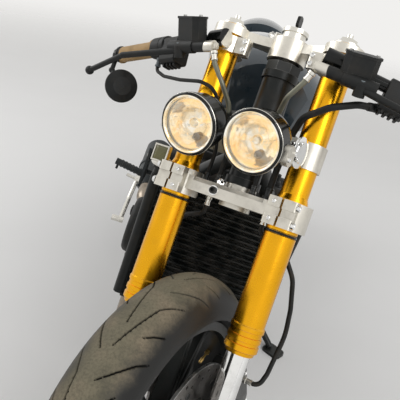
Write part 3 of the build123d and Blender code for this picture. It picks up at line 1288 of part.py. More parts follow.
def chain_point(distance, grow):
    """A point at a distance along the chain's loop, moved outward by grow."""
    distance = distance % LOOP_LENGTH
    if distance < FAR_LENGTH:
        angle = SLOPE - SPREAD + distance / REAR_SPROCKET
        return around(REAR_AXLE.Y, REAR_AXLE.Z, REAR_SPROCKET + grow, angle)
    distance -= FAR_LENGTH
    far = around(REAR_AXLE.Y, REAR_AXLE.Z, REAR_SPROCKET + grow, SLOPE + SPREAD)
    near = around(DRIVE_Y, DRIVE_Z, DRIVE_SPROCKET + grow, SLOPE + SPREAD)
    if distance > RUN_LENGTH + NEAR_LENGTH:
        distance -= RUN_LENGTH + NEAR_LENGTH
        far = around(DRIVE_Y, DRIVE_Z, DRIVE_SPROCKET + grow, SLOPE - SPREAD)
        near = around(REAR_AXLE.Y, REAR_AXLE.Z, REAR_SPROCKET + grow, SLOPE - SPREAD)
    elif distance > RUN_LENGTH:
        angle = SLOPE + SPREAD + (distance - RUN_LENGTH) / DRIVE_SPROCKET
        return around(DRIVE_Y, DRIVE_Z, DRIVE_SPROCKET + grow, angle)
    part = distance / RUN_LENGTH
    return far[0] + (near[0] - far[0]) * part, far[1] + (near[1] - far[1]) * part


def chain_loop(points_per_link, grow_at):
    """Corners of the chain's outline: grow_at gives how far each one stands out from the pitch line."""
    corners = []
    for corner in range(LINKS * points_per_link):
        distance = LOOP_LENGTH * corner / (LINKS * points_per_link)
        corners.append(chain_point(distance, grow_at[corner % len(grow_at)]))
    return corners


def chain_layer(outer, inner, x_low, x_high):
    """A band of the chain between an outer and an inner outline and two distances to the left."""
    with BuildSketch(Plane.YZ.offset(x_low)) as section:
        with BuildLine() as outer_line:
            Polyline(*outer, close=True)
        make_face()
        with BuildLine() as inner_line:
            Polyline(*inner, close=True)
        make_face(inner_line.edges(), mode=Mode.SUBTRACT)
    extrude(section.sketch, amount=x_high - x_low)


HALF_PLATE = CHAIN_HEIGHT / 2
WAIST = HALF_PLATE - 2.5
PLATE_LAYER = 3.5
with BuildPart() as drive_chain:
    # Two layers of waisted link plates with the row of rollers between them
    plate_outer = chain_loop(3, (WAIST, HALF_PLATE, HALF_PLATE))
    plate_inner = chain_loop(3, (-WAIST, -HALF_PLATE, -HALF_PLATE))
    for side in (-1, 1):
        middle = CHAIN_X + side * (CHAIN_WIDTH - PLATE_LAYER) / 2
        chain_layer(plate_outer, plate_inner, middle - PLATE_LAYER / 2, middle + PLATE_LAYER / 2)
    rollers = CHAIN_WIDTH / 2 - PLATE_LAYER + 1
    chain_layer(chain_loop(1, (5,)), chain_loop(1, (-5,)), CHAIN_X - rollers, CHAIN_X + rollers)


def toothed(centre_y, centre_z, teeth, tip, root):
    """A toothed disc's outline: a flat tip and a flat root for each tooth."""
    corners = []
    step = 2 * math.pi / teeth
    for tooth in range(teeth):
        for share, radius in ((-0.32, root), (-0.12, tip), (0.12, tip), (0.32, root)):
            corners.append(around(centre_y, centre_z, radius, (tooth + share) * step))
    return corners


TOOTH_GAP = 6.0
TOOTH_DEPTH = 6.0
with BuildPart() as drive_sprocket:
    tip = DRIVE_SPROCKET - TOOTH_GAP
    outline = toothed(DRIVE_Y, DRIVE_Z, DRIVE_TEETH, tip, tip - TOOTH_DEPTH)
    side_plate(outline, CHAIN_X - 3, CHAIN_X + 3)
    rod((GEAR_HALF + FIT, DRIVE_Y, DRIVE_Z), (CHAIN_X + 14, DRIVE_Y, DRIVE_Z), 14)
    rod((CHAIN_X + 3, DRIVE_Y, DRIVE_Z), (CHAIN_X + 10, DRIVE_Y, DRIVE_Z), 20)

CALIPER_FAR = REAR_AXLE.Y - REAR_DISC_RADIUS - 65
with BuildPart() as rear_caliper:
    with BuildSketch(Plane.YZ.offset(-REAR_DISC_X - 20)):
        with Locations((CALIPER_FAR + 40, REAR_AXLE.Z + 52)):
            RectangleRounded(80, 46, 10)
    extrude(amount=40)
    side_plate(
        [
            (CALIPER_FAR + 5, REAR_AXLE.Z + 65),
            (CALIPER_FAR + 5, REAR_AXLE.Z + 31),
            (REAR_AXLE.Y - 24, REAR_AXLE.Z - 15),
            (REAR_AXLE.Y - 10, REAR_AXLE.Z + 25),
        ],
        -REAR_DISC_X - 20,
        -REAR_DISC_X - 12,
    )
    rod(REAR_AXLE - LEFT * (REAR_DISC_X + 20), REAR_AXLE - LEFT * (REAR_DISC_X + 12), 28)
    bore_start = REAR_AXLE - LEFT * (REAR_DISC_X + 30)
    rod(bore_start, REAR_AXLE - LEFT * REAR_DISC_X, REAR_AXLE_RADIUS + FIT, Mode.SUBTRACT)
    with BuildSketch(Plane.YZ.offset(-REAR_DISC_X - 4)):
        with Locations((REAR_AXLE.Y, REAR_AXLE.Z)):
            Circle(REAR_DISC_RADIUS + 3)
    extrude(amount=8, mode=Mode.SUBTRACT)

# Rear wheel, in the body frame
with BuildPart() as rear_tyre:
    make_tyre(REAR_AXLE, REAR_RADIUS, REAR_WIDTH, REAR_RIM_WIDTH)

REAR_HUB = REAR_DISC_X - DISC_THICK / 2 - PLAY
with BuildPart() as rear_rim:
    make_rim(REAR_AXLE, REAR_RIM_WIDTH, REAR_HUB, REAR_AXLE_RADIUS + PLAY)

with BuildPart() as rear_disc:
    make_disc(REAR_AXLE, -REAR_DISC_X, REAR_DISC_RADIUS, 30, 6)

with BuildPart() as sprocket:
    tip = REAR_SPROCKET - TOOTH_GAP
    outline = toothed(REAR_AXLE.Y, REAR_AXLE.Z, REAR_TEETH, tip, tip - TOOTH_DEPTH)
    side_plate(outline, CHAIN_X - 3, CHAIN_X + 3)
    with BuildSketch(Plane.YZ.offset(CHAIN_X - 3)):
        with Locations((REAR_AXLE.Y, REAR_AXLE.Z)):
            with PolarLocations(68, 5):
                SlotOverall(30, 9, rotation=90)
    extrude(amount=6, mode=Mode.SUBTRACT)
    rod(REAR_AXLE + LEFT * (REAR_HUB + PLAY), REAR_AXLE + LEFT * (CHAIN_X + 3), 58)
    rod(REAR_AXLE + LEFT * REAR_HUB, REAR_AXLE + LEFT * (CHAIN_X + 5), 24, Mode.SUBTRACT)

# Side stand, deployed
STAND_RUN = (STAND_FOOT - STAND_PIVOT).normalized()
FOOT_HEIGHT = 9.0
with BuildPart() as side_stand:
    rod(STAND_PIVOT - STAND_AXIS * 11, STAND_PIVOT + STAND_AXIS * 11, 17)
    rod(STAND_PIVOT + STAND_RUN * 12, STAND_FOOT - STAND_RUN * 2 * STAND_RADIUS, STAND_RADIUS)
    with BuildSketch(Plane(origin=STAND_FOOT, x_dir=STAND_RUN - UP * STAND_RUN.dot(UP), z_dir=UP)):
        RectangleRounded(62, 46, 14)
    extrude(amount=FOOT_HEIGHT)
    # The tang that a boot pushes it down by
    tang = STAND_PIVOT + STAND_RUN * 150
    rod(tang, tang + Vector(34, -30, 6), 5)
    rod(STAND_PIVOT - STAND_AXIS * 12, STAND_PIVOT + STAND_AXIS * 12, STAND_PIN + FIT, Mode.SUBTRACT)

# Each piece with its body's placing
PIECES = {
    "lower_yoke": (lower_yoke, STEERED),
    "upper_yoke": (upper_yoke, STEERED),
    "stem_collar": (stem_collar, STEERED),
    "ignition_housing": (ignition_housing, STEERED),
    "fork_tubes": (fork_tubes, STEERED),
    "fork_caps": (fork_caps, STEERED),
    "fork_sliders": (fork_sliders, STEERED),
    "front_calipers": (front_calipers, STEERED),
    "front_axle": (front_axle, STEERED),
    "lamp_shells": (lamp_shells, STEERED),
    "lamp_lenses": (lamp_lenses, STEERED),
    "lamp_reflectors": (lamp_reflectors, STEERED),
    "lamp_brackets": (lamp_brackets, STEERED),
    "handlebars": (handlebars, STEERED),
    "grips": (grips, STEERED),
    "switchgear": (switchgear, STEERED),
    "brake_master": (brake_master, STEERED),
    "clutch_perch": (clutch_perch, STEERED),
    "mirrors": (mirrors, STEERED),
    "hoses": (hoses, STEERED),
    "front_tyre": (front_tyre, STEERED),
    "front_rim": (front_rim, STEERED),
    "front_discs": (front_discs, STEERED),
    "frame": (frame, PARKED),
    "swingarm": (swingarm, PARKED),
    "swingarm_pivot": (swingarm_pivot, PARKED),
    "rear_axle": (rear_axle, PARKED),
    "rear_shock": (rear_shock, PARKED),
    "crankcase": (crankcase, PARKED),
    "cylinders": (cylinders, PARKED),
    "cylinder_head": (cylinder_head, PARKED),
    "engine_covers": (engine_covers, PARKED),
    "intakes": (intakes, PARKED),
    "radiator": (radiator, PARKED),
    "exhaust_headers": (exhaust_headers, PARKED),
    "silencer": (silencer, PARKED),
    "fuel_tank": (fuel_tank, PARKED),
    "filler_cap": (filler_cap, PARKED),
    "seat": (seat, PARKED),
    "tail_cowl": (tail_cowl, PARKED),
    "tail_lamp": (tail_lamp, PARKED),
    "footpegs": (footpegs, PARKED),
    "foot_levers": (foot_levers, PARKED),
    "drive_chain": (drive_chain, PARKED),
    "drive_sprocket": (drive_sprocket, PARKED),
    "rear_caliper": (rear_caliper, PARKED),
    "rear_tyre": (rear_tyre, PARKED),
    "rear_rim": (rear_rim, PARKED),
    "rear_disc": (rear_disc, PARKED),
    "sprocket": (sprocket, PARKED),
    "side_stand": (side_stand, PARKED),
}

# The origin is on the ground, under the middle of the whole bike's box.
for piece, place in PIECES.values():
    piece.part.move(place)
boxes = [piece.part.bounding_box() for piece, place in PIECES.values()]
centre_x = (min(box.min.X for box in boxes) + max(box.max.X for box in boxes)) / 2
centre_y = (min(box.min.Y for box in boxes) + max(box.max.Y for box in boxes)) / 2
floor_z = min(box.min.Z for box in boxes)
SHIFT = Location((-centre_x, -centre_y, -floor_z))
for name, (piece, place) in PIECES.items():
    piece.part.move(SHIFT)
    piece.part.label = name
    export_step(piece.part, f"parts/{name}.step")


def tell(name, vector):
    """Print a point or direction of the finished part."""
    print(name, f"{vector.X:.9f} {vector.Y:.9f} {vector.Z:.9f}")


tell("floor", Vector(centre_x, centre_y, floor_z))
tell("front_axle", moved(SHIFT * STEERED, ORIGIN))
tell("front_axle_run", turned(STEERED, LEFT))
tell("rear_axle", moved(SHIFT * PARKED, REAR_AXLE))
tell("rear_axle_run", turned(PARKED, LEFT))
tell("stem", moved(SHIFT * STEERED, Vector(0, FORK_OFFSET, LOWER_YOKE_TOP)))
tell("stem_run", turned(STEERED, Vector(0, 0, 1)))
tell("spool_left", moved(SHIFT * PARKED, LEFT_SPOOL - LEFT * SPOOL_LENGTH / 2))
tell("spool_right", moved(SHIFT * PARKED, RIGHT_SPOOL + LEFT * SPOOL_LENGTH / 2))
tell("spool_length", Vector(SPOOL_LENGTH, 0, 0))
tell("front_axle_length", Vector(2 * (LEG_X + 26), 0, 0))
tell("rear_axle_length", Vector(2 * (ARM_OUT + 14), 0, 0))
tell("stand_pivot", moved(SHIFT * PARKED, STAND_PIVOT))
tell("stand_axis", turned(PARKED, STAND_AXIS))
print("stand_travel", round(STAND_TRAVEL, 3), "pitch", round(PITCH, 4))
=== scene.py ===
# %% [markdown]
# # A cafe racer on its side stand
#
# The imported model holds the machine's real pieces at their real size. This lesson gives each of them
# its finish, adds the small things that a solid model leaves out, and lights it in a plain studio.
# Everything is in metres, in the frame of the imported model.

# %% Load the frame
import bmesh
import bpy
import json
import numpy as np
from mathutils import Matrix, Vector
from mathutils.bvhtree import BVHTree

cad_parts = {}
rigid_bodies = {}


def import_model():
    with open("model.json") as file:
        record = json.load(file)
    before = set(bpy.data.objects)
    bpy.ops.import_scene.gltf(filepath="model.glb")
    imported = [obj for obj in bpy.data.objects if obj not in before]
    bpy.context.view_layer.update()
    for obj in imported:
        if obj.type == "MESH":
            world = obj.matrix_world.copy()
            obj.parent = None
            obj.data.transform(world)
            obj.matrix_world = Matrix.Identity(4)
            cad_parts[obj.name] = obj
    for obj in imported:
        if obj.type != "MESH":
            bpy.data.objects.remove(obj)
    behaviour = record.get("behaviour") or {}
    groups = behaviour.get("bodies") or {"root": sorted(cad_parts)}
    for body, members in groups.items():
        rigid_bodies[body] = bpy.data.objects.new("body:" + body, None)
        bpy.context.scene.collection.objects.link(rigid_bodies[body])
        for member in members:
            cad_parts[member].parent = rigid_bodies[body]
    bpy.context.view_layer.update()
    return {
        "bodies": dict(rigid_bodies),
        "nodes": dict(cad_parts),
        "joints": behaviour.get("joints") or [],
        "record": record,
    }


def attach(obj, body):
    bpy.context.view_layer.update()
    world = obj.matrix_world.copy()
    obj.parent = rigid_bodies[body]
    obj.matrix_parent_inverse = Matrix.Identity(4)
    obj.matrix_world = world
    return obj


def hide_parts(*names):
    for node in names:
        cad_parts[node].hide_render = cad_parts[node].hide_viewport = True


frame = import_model()
NODES = frame["nodes"]

# %% [markdown]
# ## Two frames that the machine is measured in
#
# The fork is leaned back, turned to its stop and tipped over with the bike, so nothing on it is level.
# Its own frame makes this easy: X along the front axle to the left, Z up the fork legs, Y behind them.
# The rest of the machine has a frame too, on the ground midway between the axles. Both come from the
# joints of the record, so they follow the model if it changes.

# %% The fork frame and the body frame
JOINTS = {joint["name"]: joint for joint in frame["joints"]}
RAKE = np.radians(24.0)
WHEELBASE, REAR_RADIUS = 1440.0, 315.0


def unit(vectors):
    """Vectors scaled to length one."""
    vectors = np.asarray(vectors, float)
    return vectors / np.linalg.norm(vectors, axis=-1, keepdims=True)


def joint_line(name):
    """A joint's point and its axis, as arrays."""
    joint = JOINTS[name]
    return np.array(joint["pos_m"]), np.array(joint["axis"])


class Frame:
    """An origin with three axes: point = origin + x * X + y * Y + z * Z, with x, y and z in millimetres."""

    def __init__(self, origin, x_axis, y_axis, z_axis):
        self.axes = unit([x_axis, y_axis, z_axis])
        self.origin = np.array(origin, float)

    def at(self, points):
        """Points in millimetres of this frame, carried to the world in metres."""
        return self.origin + np.asarray(points, float) / 1000 @ self.axes

    def along(self, direction):
        """A direction of this frame, turned to the world."""
        return np.asarray(direction, float) @ self.axes


front_axle, front_run = joint_line("front_wheel_spin")
rear_axle, rear_run = joint_line("rear_wheel_spin")
stem_run = joint_line("steering")[1]
FORK = Frame(front_axle, front_run, np.cross(stem_run, front_run), stem_run)

behind_stem = np.cross(stem_run, rear_run)
body_back = np.sin(RAKE) * stem_run + np.cos(RAKE) * behind_stem
body_up = np.cos(RAKE) * stem_run - np.sin(RAKE) * behind_stem
BODY = Frame(rear_axle, rear_run, body_back, body_up)
BODY.origin = BODY.at((0, -WHEELBASE / 2, -REAR_RADIUS))
print("fork origin", FORK.origin.round(3), "body origin", BODY.origin.round(3))

# %% [markdown]
# ## The camera
#
# The photographer stood in front of the left fork leg, a little above the lamps, and rolled the camera
# so that the leaning bike fills the picture. The view was found from points of known size on the fork,
# so it is given in the fork's frame.

# %% Camera at the photograph's view
SENSOR, FOCAL_PIXELS, IMAGE, FAR_CLIP = 36.0, 543.25, 400, 60
# The view's right and up and the camera's place, in the fork's frame
VIEW_RIGHT = (0.84691, 0.41407, 0.33362)
VIEW_UP = (-0.29868, -0.14864, 0.94271)
VIEW_PLACE = (386.866, -906.482, 422.407)
scene = bpy.context.scene


def put(thing, right, back, place):
    """Link an object and turn its X axis to the right and its Z axis to the back, at a place in metres."""
    scene.collection.objects.link(thing)
    pose = np.eye(4)
    pose[:3, :3] = np.array([right, np.cross(back, right), back]).T
    pose[:3, 3] = place
    thing.matrix_world = Matrix(pose.tolist())


camera_data = bpy.data.cameras.new("camera")
camera_data.sensor_width = SENSOR
camera_data.sensor_fit = "HORIZONTAL"
camera_data.lens = FOCAL_PIXELS / IMAGE * SENSOR
camera_data.clip_end = FAR_CLIP
camera = bpy.data.objects.new("camera", camera_data)
view_right = FORK.along(VIEW_RIGHT)
put(camera, view_right, np.cross(view_right, FORK.along(VIEW_UP)), FORK.at(VIEW_PLACE))
scene.camera = camera
print("camera", FORK.at(VIEW_PLACE).round(3), "lens", round(camera_data.lens, 2))

# %% [markdown]
# ## Helpers for materials
#
# A material is a tree of nodes, and the same few steps come back in each: noise over the object's own
# coordinates, a range eased into another, a mix of two colours, a bump. Each is a function here.

# %% Nodes that come back in every material


def new_material(name):
    """An empty node material and its tree."""
    material = bpy.data.materials.new(name)
    material.use_nodes = True
    material.node_tree.nodes.clear()
    return material, material.node_tree


def add(tree, kind, links=None, **values):
    """A node in a tree: links maps its inputs to sockets or numbers, values sets its own properties."""
    node = tree.nodes.new(kind)
    for key, value in values.items():
        setattr(node, key, value)
    for key, source in (links or {}).items():
        if isinstance(source, bpy.types.NodeSocket):
            tree.links.new(source, node.inputs[key])
        else:
            node.inputs[key].default_value = source
    return node


def own_place(tree):
    """A point's place in its object's own coordinates, in metres."""
    return add(tree, "ShaderNodeTexCoord").outputs["Object"]


def noise(tree, where, scale, detail, **more):
    """Noise between 0 and 1 at a place. More of the node's inputs go by their names."""
    inputs = {"Vector": where, "Scale": scale, "Detail": detail, **more}
    return add(tree, "ShaderNodeTexNoise", inputs).outputs["Fac"]


def blend(tree, factor, first, second):
    """A colour mix of two sockets or colours."""
    return add(tree, "ShaderNodeMix", {0: factor, 6: first, 7: second}, data_type="RGBA").outputs[2]


def ramp(tree, value, low, high, to_low=0.0, to_high=1.0):
    """A clamped map of a value from one range to another, eased at both ends."""
    limits = {"From Min": low, "From Max": high, "To Min": to_low, "To Max": to_high}
    node = add(tree, "ShaderNodeMapRange", {"Value": value, **limits}, interpolation_type="SMOOTHSTEP")
    return node.outputs[0]


def calc(tree, operation, first, second=0.0):
    """One sum of two numbers or sockets."""
    return add(tree, "ShaderNodeMath", {0: first, 1: second}, operation=operation).outputs[0]


def hypot(tree, first, second):
    """The square root of first^2 + second^2."""
    squares = [calc(tree, "POWER", side, 2.0) for side in (first, second)]
    return calc(tree, "SQRT", calc(tree, "ADD", *squares))


def bump(tree, height, strength, distance):
    """A normal bent by a height."""
    inputs = {"Height": height, "Strength": strength, "Distance": distance}
    return add(tree, "ShaderNodeBump", inputs).outputs[0]


def finished(tree, inputs):
    """The Principled shader with these inputs, joined to the material's output."""
    shader = add(tree, "ShaderNodeBsdfPrincipled", inputs)
    add(tree, "ShaderNodeOutputMaterial", {"Surface": shader.outputs[0]})


def paint(names, material):
    """Give a material to the solids in a line of names."""
    for name in names.split():
        for place in NODES[name].material_slots:
            place.material = material


print("helpers for", scene.name)

# %% [markdown]
# ## The studio
#
# A pale floor runs out to the horizon. The world lights everything evenly, and two large soft lamps add
# shape: one above in front and one behind on the other side. Rays that go straight to the camera, or
# are mirrored or bent on their way, see a plain white world, so polished metal has something to show.

# %% Floor, world and lamps
scene.view_settings.view_transform = "Standard"
FLOOR_SIZE, FADE_NEAR, FADE_FAR = 24.0, 2.0, 9.0
WORLD_LIGHT, WORLD_SEEN = 0.55, 0.88

floor_mesh = bpy.data.meshes.new("floor")
corners = [(x * FLOOR_SIZE / 2, y * FLOOR_SIZE / 2, 0) for x, y in ((-1, -1), (1, -1), (1, 1), (-1, 1))]
floor_mesh.from_pydata(corners, [], [(0, 1, 2, 3)])
floor = bpy.data.objects.new("floor", floor_mesh)
scene.collection.objects.link(floor)
floor_material, tree = new_material("floor_paint")
where = own_place(tree)
mottle = noise(tree, where, 3.0, 3.0)
floor_tone = add(tree, "ShaderNodeMapRange", {"Value": mottle, "To Min": 0.84, "To Max": 0.87})
floor_paint = add(tree, "ShaderNodeBsdfPrincipled", {"Base Color": floor_tone.outputs[0], "Roughness": 0.9})
far = add(tree, "ShaderNodeVectorMath", {0: where}, operation="LENGTH").outputs["Value"]
fade = ramp(tree, far, FADE_NEAR, FADE_FAR)
clear = add(tree, "ShaderNodeBsdfTransparent")
faded = add(tree, "ShaderNodeMixShader", {0: fade, 1: floor_paint.outputs[0], 2: clear.outputs[0]})
add(tree, "ShaderNodeOutputMaterial", {"Surface": faded.outputs[0]})
floor_mesh.materials.append(floor_material)

world = bpy.data.worlds.new("studio")
scene.world = world
world.use_nodes = True
world.node_tree.nodes.clear()
tree = world.node_tree
ray = add(tree, "ShaderNodeLightPath").outputs
seen = calc(tree, "MAXIMUM", ray["Is Camera Ray"], ray["Is Glossy Ray"])
seen = calc(tree, "MAXIMUM", seen, ray["Is Transmission Ray"])
strength = add(tree, "ShaderNodeMapRange", {"Value": seen, "To Min": WORLD_LIGHT, "To Max": WORLD_SEEN})
sky = add(tree, "ShaderNodeBackground", {"Color": (1.0, 0.99, 0.97, 1.0), "Strength": strength.outputs[0]})
add(tree, "ShaderNodeOutputWorld", {"Surface": sky.outputs[0]})


def soft_lamp(name, place, target, size, power):
    """A square area lamp at a place, facing a target, with its size in metres and its power in watts."""
    data = bpy.data.lights.new(name, "AREA")
    data.shape, data.size, data.energy = "SQUARE", size, power
    back = unit(np.subtract(place, target))
    put(bpy.data.objects.new(name, data), unit(np.cross((0, 0, 1), back)), back, place)


soft_lamp("key", (2.2, -3.2, 3.4), (0, -0.4, 0.5), 2.6, 80)
soft_lamp("fill", (-3.4, 0.6, 2.6), (0, 0, 0.5), 2.4, 45)
print("studio: floor", FLOOR_SIZE, "m, world light", WORLD_LIGHT)

# %% [markdown]
# ## One group for every hard finish
#
# Metal and paint on a machine that is ridden share three effects: the colour drifts a little, edges are
# rubbed bright or bare, and dust and old oil settle in patches. One node group works them out from the
# object's own coordinates and gives a colour, a roughness and a height. The Bevel node finds the
# edges: where its rounded normal leans away from the flat one, there is an edge close by.

# %% The worn finish group
EDGE_RADIUS = 0.0012
WORN_INPUTS = (
    ("Color", "Color", (0.5, 0.5, 0.5, 1)),
    ("Edge Color", "Color", (0.8, 0.8, 0.8, 1)),
    ("Grime Color", "Color", (0.1, 0.08, 0.06, 1)),
    ("Roughness", "Float", 0.4),
    ("Edge Wear", "Float", 0.3),
    ("Grime", "Float", 0.3),
    ("Grain Size", "Float", 0.002),
)
WORN = bpy.data.node_groups.new("worn_finish", "ShaderNodeTree")
for label, kind, value in WORN_INPUTS:
    socket = WORN.interface.new_socket(label, in_out="INPUT", socket_type="NodeSocket" + kind)
    socket.default_value = value
for label, kind in (("Color", "Color"), ("Roughness", "Float"), ("Height", "Float")):
    WORN.interface.new_socket(label, in_out="OUTPUT", socket_type="NodeSocket" + kind)
ask = add(WORN, "NodeGroupInput").outputs
where = own_place(WORN)
drift = noise(WORN, where, 9.0, 4.0)
patches = noise(WORN, where, 38.0, 6.0, Roughness=0.65)
grain = noise(WORN, where, calc(WORN, "DIVIDE", 1.0, ask["Grain Size"]), 2.0)
bevel = add(WORN, "ShaderNodeBevel", {"Radius": EDGE_RADIUS}, samples=4).outputs[0]
flat = add(WORN, "ShaderNodeNewGeometry").outputs["Normal"]
lean = add(WORN, "ShaderNodeVectorMath", {0: bevel, 1: flat}, operation="DOT_PRODUCT").outputs["Value"]
rubbed = calc(WORN, "MULTIPLY", ramp(WORN, lean, 0.995, 0.90), ramp(WORN, patches, 0.38, 0.62))
rubbed = calc(WORN, "MULTIPLY", rubbed, ask["Edge Wear"])
dirty = calc(WORN, "MULTIPLY", ramp(WORN, patches, 0.42, 0.72), ask["Grime"])
tone = ramp(WORN, drift, 0.3, 0.7, 0.93, 1.05)
toned = add(WORN, "ShaderNodeHueSaturation", {"Color": ask["Color"], "Value": tone}).outputs[0]
coloured = blend(WORN, dirty, toned, ask["Grime Color"])
coloured = blend(WORN, rubbed, coloured, ask["Edge Color"])
rough = calc(WORN, "ADD", ask["Roughness"], calc(WORN, "MULTIPLY", dirty, 0.35))
rough = calc(WORN, "ADD", rough, ramp(WORN, patches, 0.3, 0.7, -0.04, 0.04))
add(WORN, "NodeGroupOutput", {"Color": coloured, "Roughness": rough, "Height": grain})
print("worn_finish:", len(WORN.nodes), "nodes")

# %% [markdown]
# ## Hard finishes
#
# Each finish is one row of a table: its colour, the colour that shows where an edge is rubbed, how
# rough it is, how metallic, and how much wear and dirt it carries. Anodised gold keeps its metal's
# gleam, powder coat has a fine pebbled skin, and cast aluminium is coarse.

# %% Build the hard finishes
SKIN_RELIEF, COAT_ROUGHNESS = 0.0004, 0.08
METAL_GLEAM, PAINT_GLEAM = 0.5, 0.28


def worn_node(tree, row):
    """The outputs of the worn finish group with a row's values. Metallic and bump are the shader's."""
    _, colour, edge_colour, rough, _, wear, grime, grain, _ = row
    inputs = {
        "Color": (*colour, 1),
        "Edge Color": (*edge_colour, 1),
        "Roughness": rough,
        "Edge Wear": wear,
        "Grime": grime,
        "Grain Size": grain,
    }
    return add(tree, "ShaderNodeGroup", inputs, node_tree=WORN).outputs


def hard_finish(row, coat=0.0, gleam=METAL_GLEAM):
    """A Principled material that takes its colour, roughness and height from the worn finish group."""
    material, tree = new_material(row[0])
    worn = worn_node(tree, row)
    inputs = {
        "Base Color": worn["Color"],
        "Roughness": worn["Roughness"],
        "Metallic": row[4],
        "Specular IOR Level": gleam,
        "Coat Weight": coat,
        "Coat Roughness": COAT_ROUGHNESS,
        "Normal": bump(tree, worn["Height"], row[8], SKIN_RELIEF),
    }
    finished(tree, inputs)
    material.diffuse_color = (*row[1], 1)
    return material


DULL = (0.42, 0.40, 0.37)
# Rows of name, colour, rubbed edge, roughness, metallic, wear, grime, grain size and bump
HARD_ROWS = (
    ("gold_anodised", (0.86, 0.42, 0.014), (0.95, 0.72, 0.30), 0.27, 1.0, 0.35, 0.05, 0.0006, 0.008),
    ("satin_alloy", (0.70, 0.67, 0.60), (0.88, 0.86, 0.80), 0.36, 1.0, 0.6, 0.22, 0.0009, 0.15),
    ("machined_alloy", (0.76, 0.74, 0.68), (0.90, 0.89, 0.85), 0.24, 1.0, 0.4, 0.12, 0.0007, 0.08),
    ("polished_chrome", (0.86, 0.86, 0.85), (0.95, 0.95, 0.95), 0.10, 1.0, 0.2, 0.14, 0.001, 0.03),
    ("black_coat", (0.007, 0.009, 0.0085), DULL, 0.38, 0.0, 0.35, 0.10, 0.0012, 0.25),
    ("gloss_black", (0.005, 0.006, 0.006), DULL, 0.16, 0.0, 0.2, 0.06, 0.002, 0.05),
    ("black_anodised", (0.028, 0.030, 0.030), (0.5, 0.5, 0.48), 0.34, 0.6, 0.5, 0.08, 0.0009, 0.12),
    ("cast_dark", (0.085, 0.088, 0.088), (0.45, 0.45, 0.43), 0.52, 0.5, 0.5, 0.3, 0.0016, 0.5),
    ("cast_black", (0.009, 0.0105, 0.0105), (0.3, 0.3, 0.29), 0.48, 0.1, 0.4, 0.25, 0.0016, 0.45),
    ("ground_steel", (0.50, 0.50, 0.49), (0.8, 0.8, 0.79), 0.30, 1.0, 0.3, 0.2, 0.0006, 0.2),
    ("oiled_steel", (0.23, 0.22, 0.21), (0.6, 0.59, 0.57), 0.34, 1.0, 0.5, 0.45, 0.0008, 0.3),
    ("pipe_steel", (0.34, 0.29, 0.235), (0.6, 0.56, 0.5), 0.30, 1.0, 0.25, 0.5, 0.001, 0.12),
    ("spring_steel", (0.05, 0.05, 0.052), DULL, 0.32, 0.3, 0.3, 0.1, 0.001, 0.1),
    ("moulded_black", (0.008, 0.009, 0.009), (0.09, 0.09, 0.085), 0.48, 0.0, 0.5, 0.12, 0.0007, 0.35),
    ("slate_plastic", (0.16, 0.185, 0.20), (0.3, 0.32, 0.33), 0.42, 0.0, 0.3, 0.15, 0.0009, 0.2),
    ("slate_coat", (0.030, 0.036, 0.038), (0.3, 0.32, 0.32), 0.40, 0.0, 0.5, 0.2, 0.0012, 0.3),
    ("hose_rubber", (0.007, 0.0075, 0.007), (0.05, 0.05, 0.048), 0.55, 0.0, 0.2, 0.25, 0.0006, 0.3),
    ("brass_oiled", (0.45, 0.30, 0.10), (0.8, 0.62, 0.3), 0.34, 1.0, 0.4, 0.3, 0.001, 0.1),
)
HARD = {row[0]: hard_finish(row, gleam=METAL_GLEAM if row[4] > 0.5 else PAINT_GLEAM) for row in HARD_ROWS}
LACQUER = ("tank_lacquer", (0.022, 0.036, 0.048), (0.1, 0.11, 0.12), 0.30, 0.0, 0.1, 0.05, 0.002, 0.03)
HARD["tank_lacquer"] = hard_finish(LACQUER, coat=1.0)
print(len(HARD), "hard finishes")

# %% [markdown]
# ## Finish for every solid
#
# The solids that stay as they are get their finish here, by name, with a few nodes told apart
# where the photograph shows two metals.

# %% Paint the solids
FINISHES = {
    "gold_anodised": "fork_tubes",
    "satin_alloy": "lower_yoke upper_yoke lamp_brackets",
    "machined_alloy": "filler_cap foot_levers fork_caps",
    "slate_coat": "silencer footpegs",
    "polished_chrome": "fork_sliders front_axle rear_axle swingarm_pivot",
    "black_coat": "frame swingarm radiator front_rim rear_rim side_stand",
    "gloss_black": "lamp_shells",
    "black_anodised": "stem_collar front_calipers rear_caliper",
    "cast_dark": "crankcase cylinders intakes",
    "cast_black": "engine_covers cylinder_head",
    "ground_steel": "rear_disc",
    "oiled_steel": "drive_chain drive_sprocket sprocket",
    "pipe_steel": "exhaust_headers",
    "spring_steel": "rear_shock",
    "moulded_black": "mirrors",
    "tank_lacquer": "fuel_tank tail_cowl",
}
for finish, names in FINISHES.items():
    paint(names, HARD[finish])
print("painted", sum(len(names.split()) for names in FINISHES.values()), "solids")

# %% [markdown]
# ## From arrays to pieces
#
# Every new piece is a grid: rows run along a profile or a path, columns run round it. The faces of a
# grid follow from its size alone, so one function works for all. Points that fall together, such as
# a turned piece's poles, are merged, and then the faces are told to point outwards.

# %% Grids, turned shapes and the function that puts a piece in place
MERGE_WITHIN = 2e-6


def grid_faces(rows, columns, closed_rows=False, closed_columns=True):
    """Quads of a grid of points: face (i, j) joins points (i, j), (i, j+1), (i+1, j+1) and (i+1, j)."""
    i = np.arange(rows if closed_rows else rows - 1)[:, None]
    j = np.arange(columns if closed_columns else columns - 1)[None, :]
    next_i, next_j = (i + 1) % rows, (j + 1) % columns
    corners = (i * columns + j, i * columns + next_j, next_i * columns + next_j, next_i * columns + j)
    return np.stack(np.broadcast_arrays(*corners), axis=-1).reshape(-1, 4)


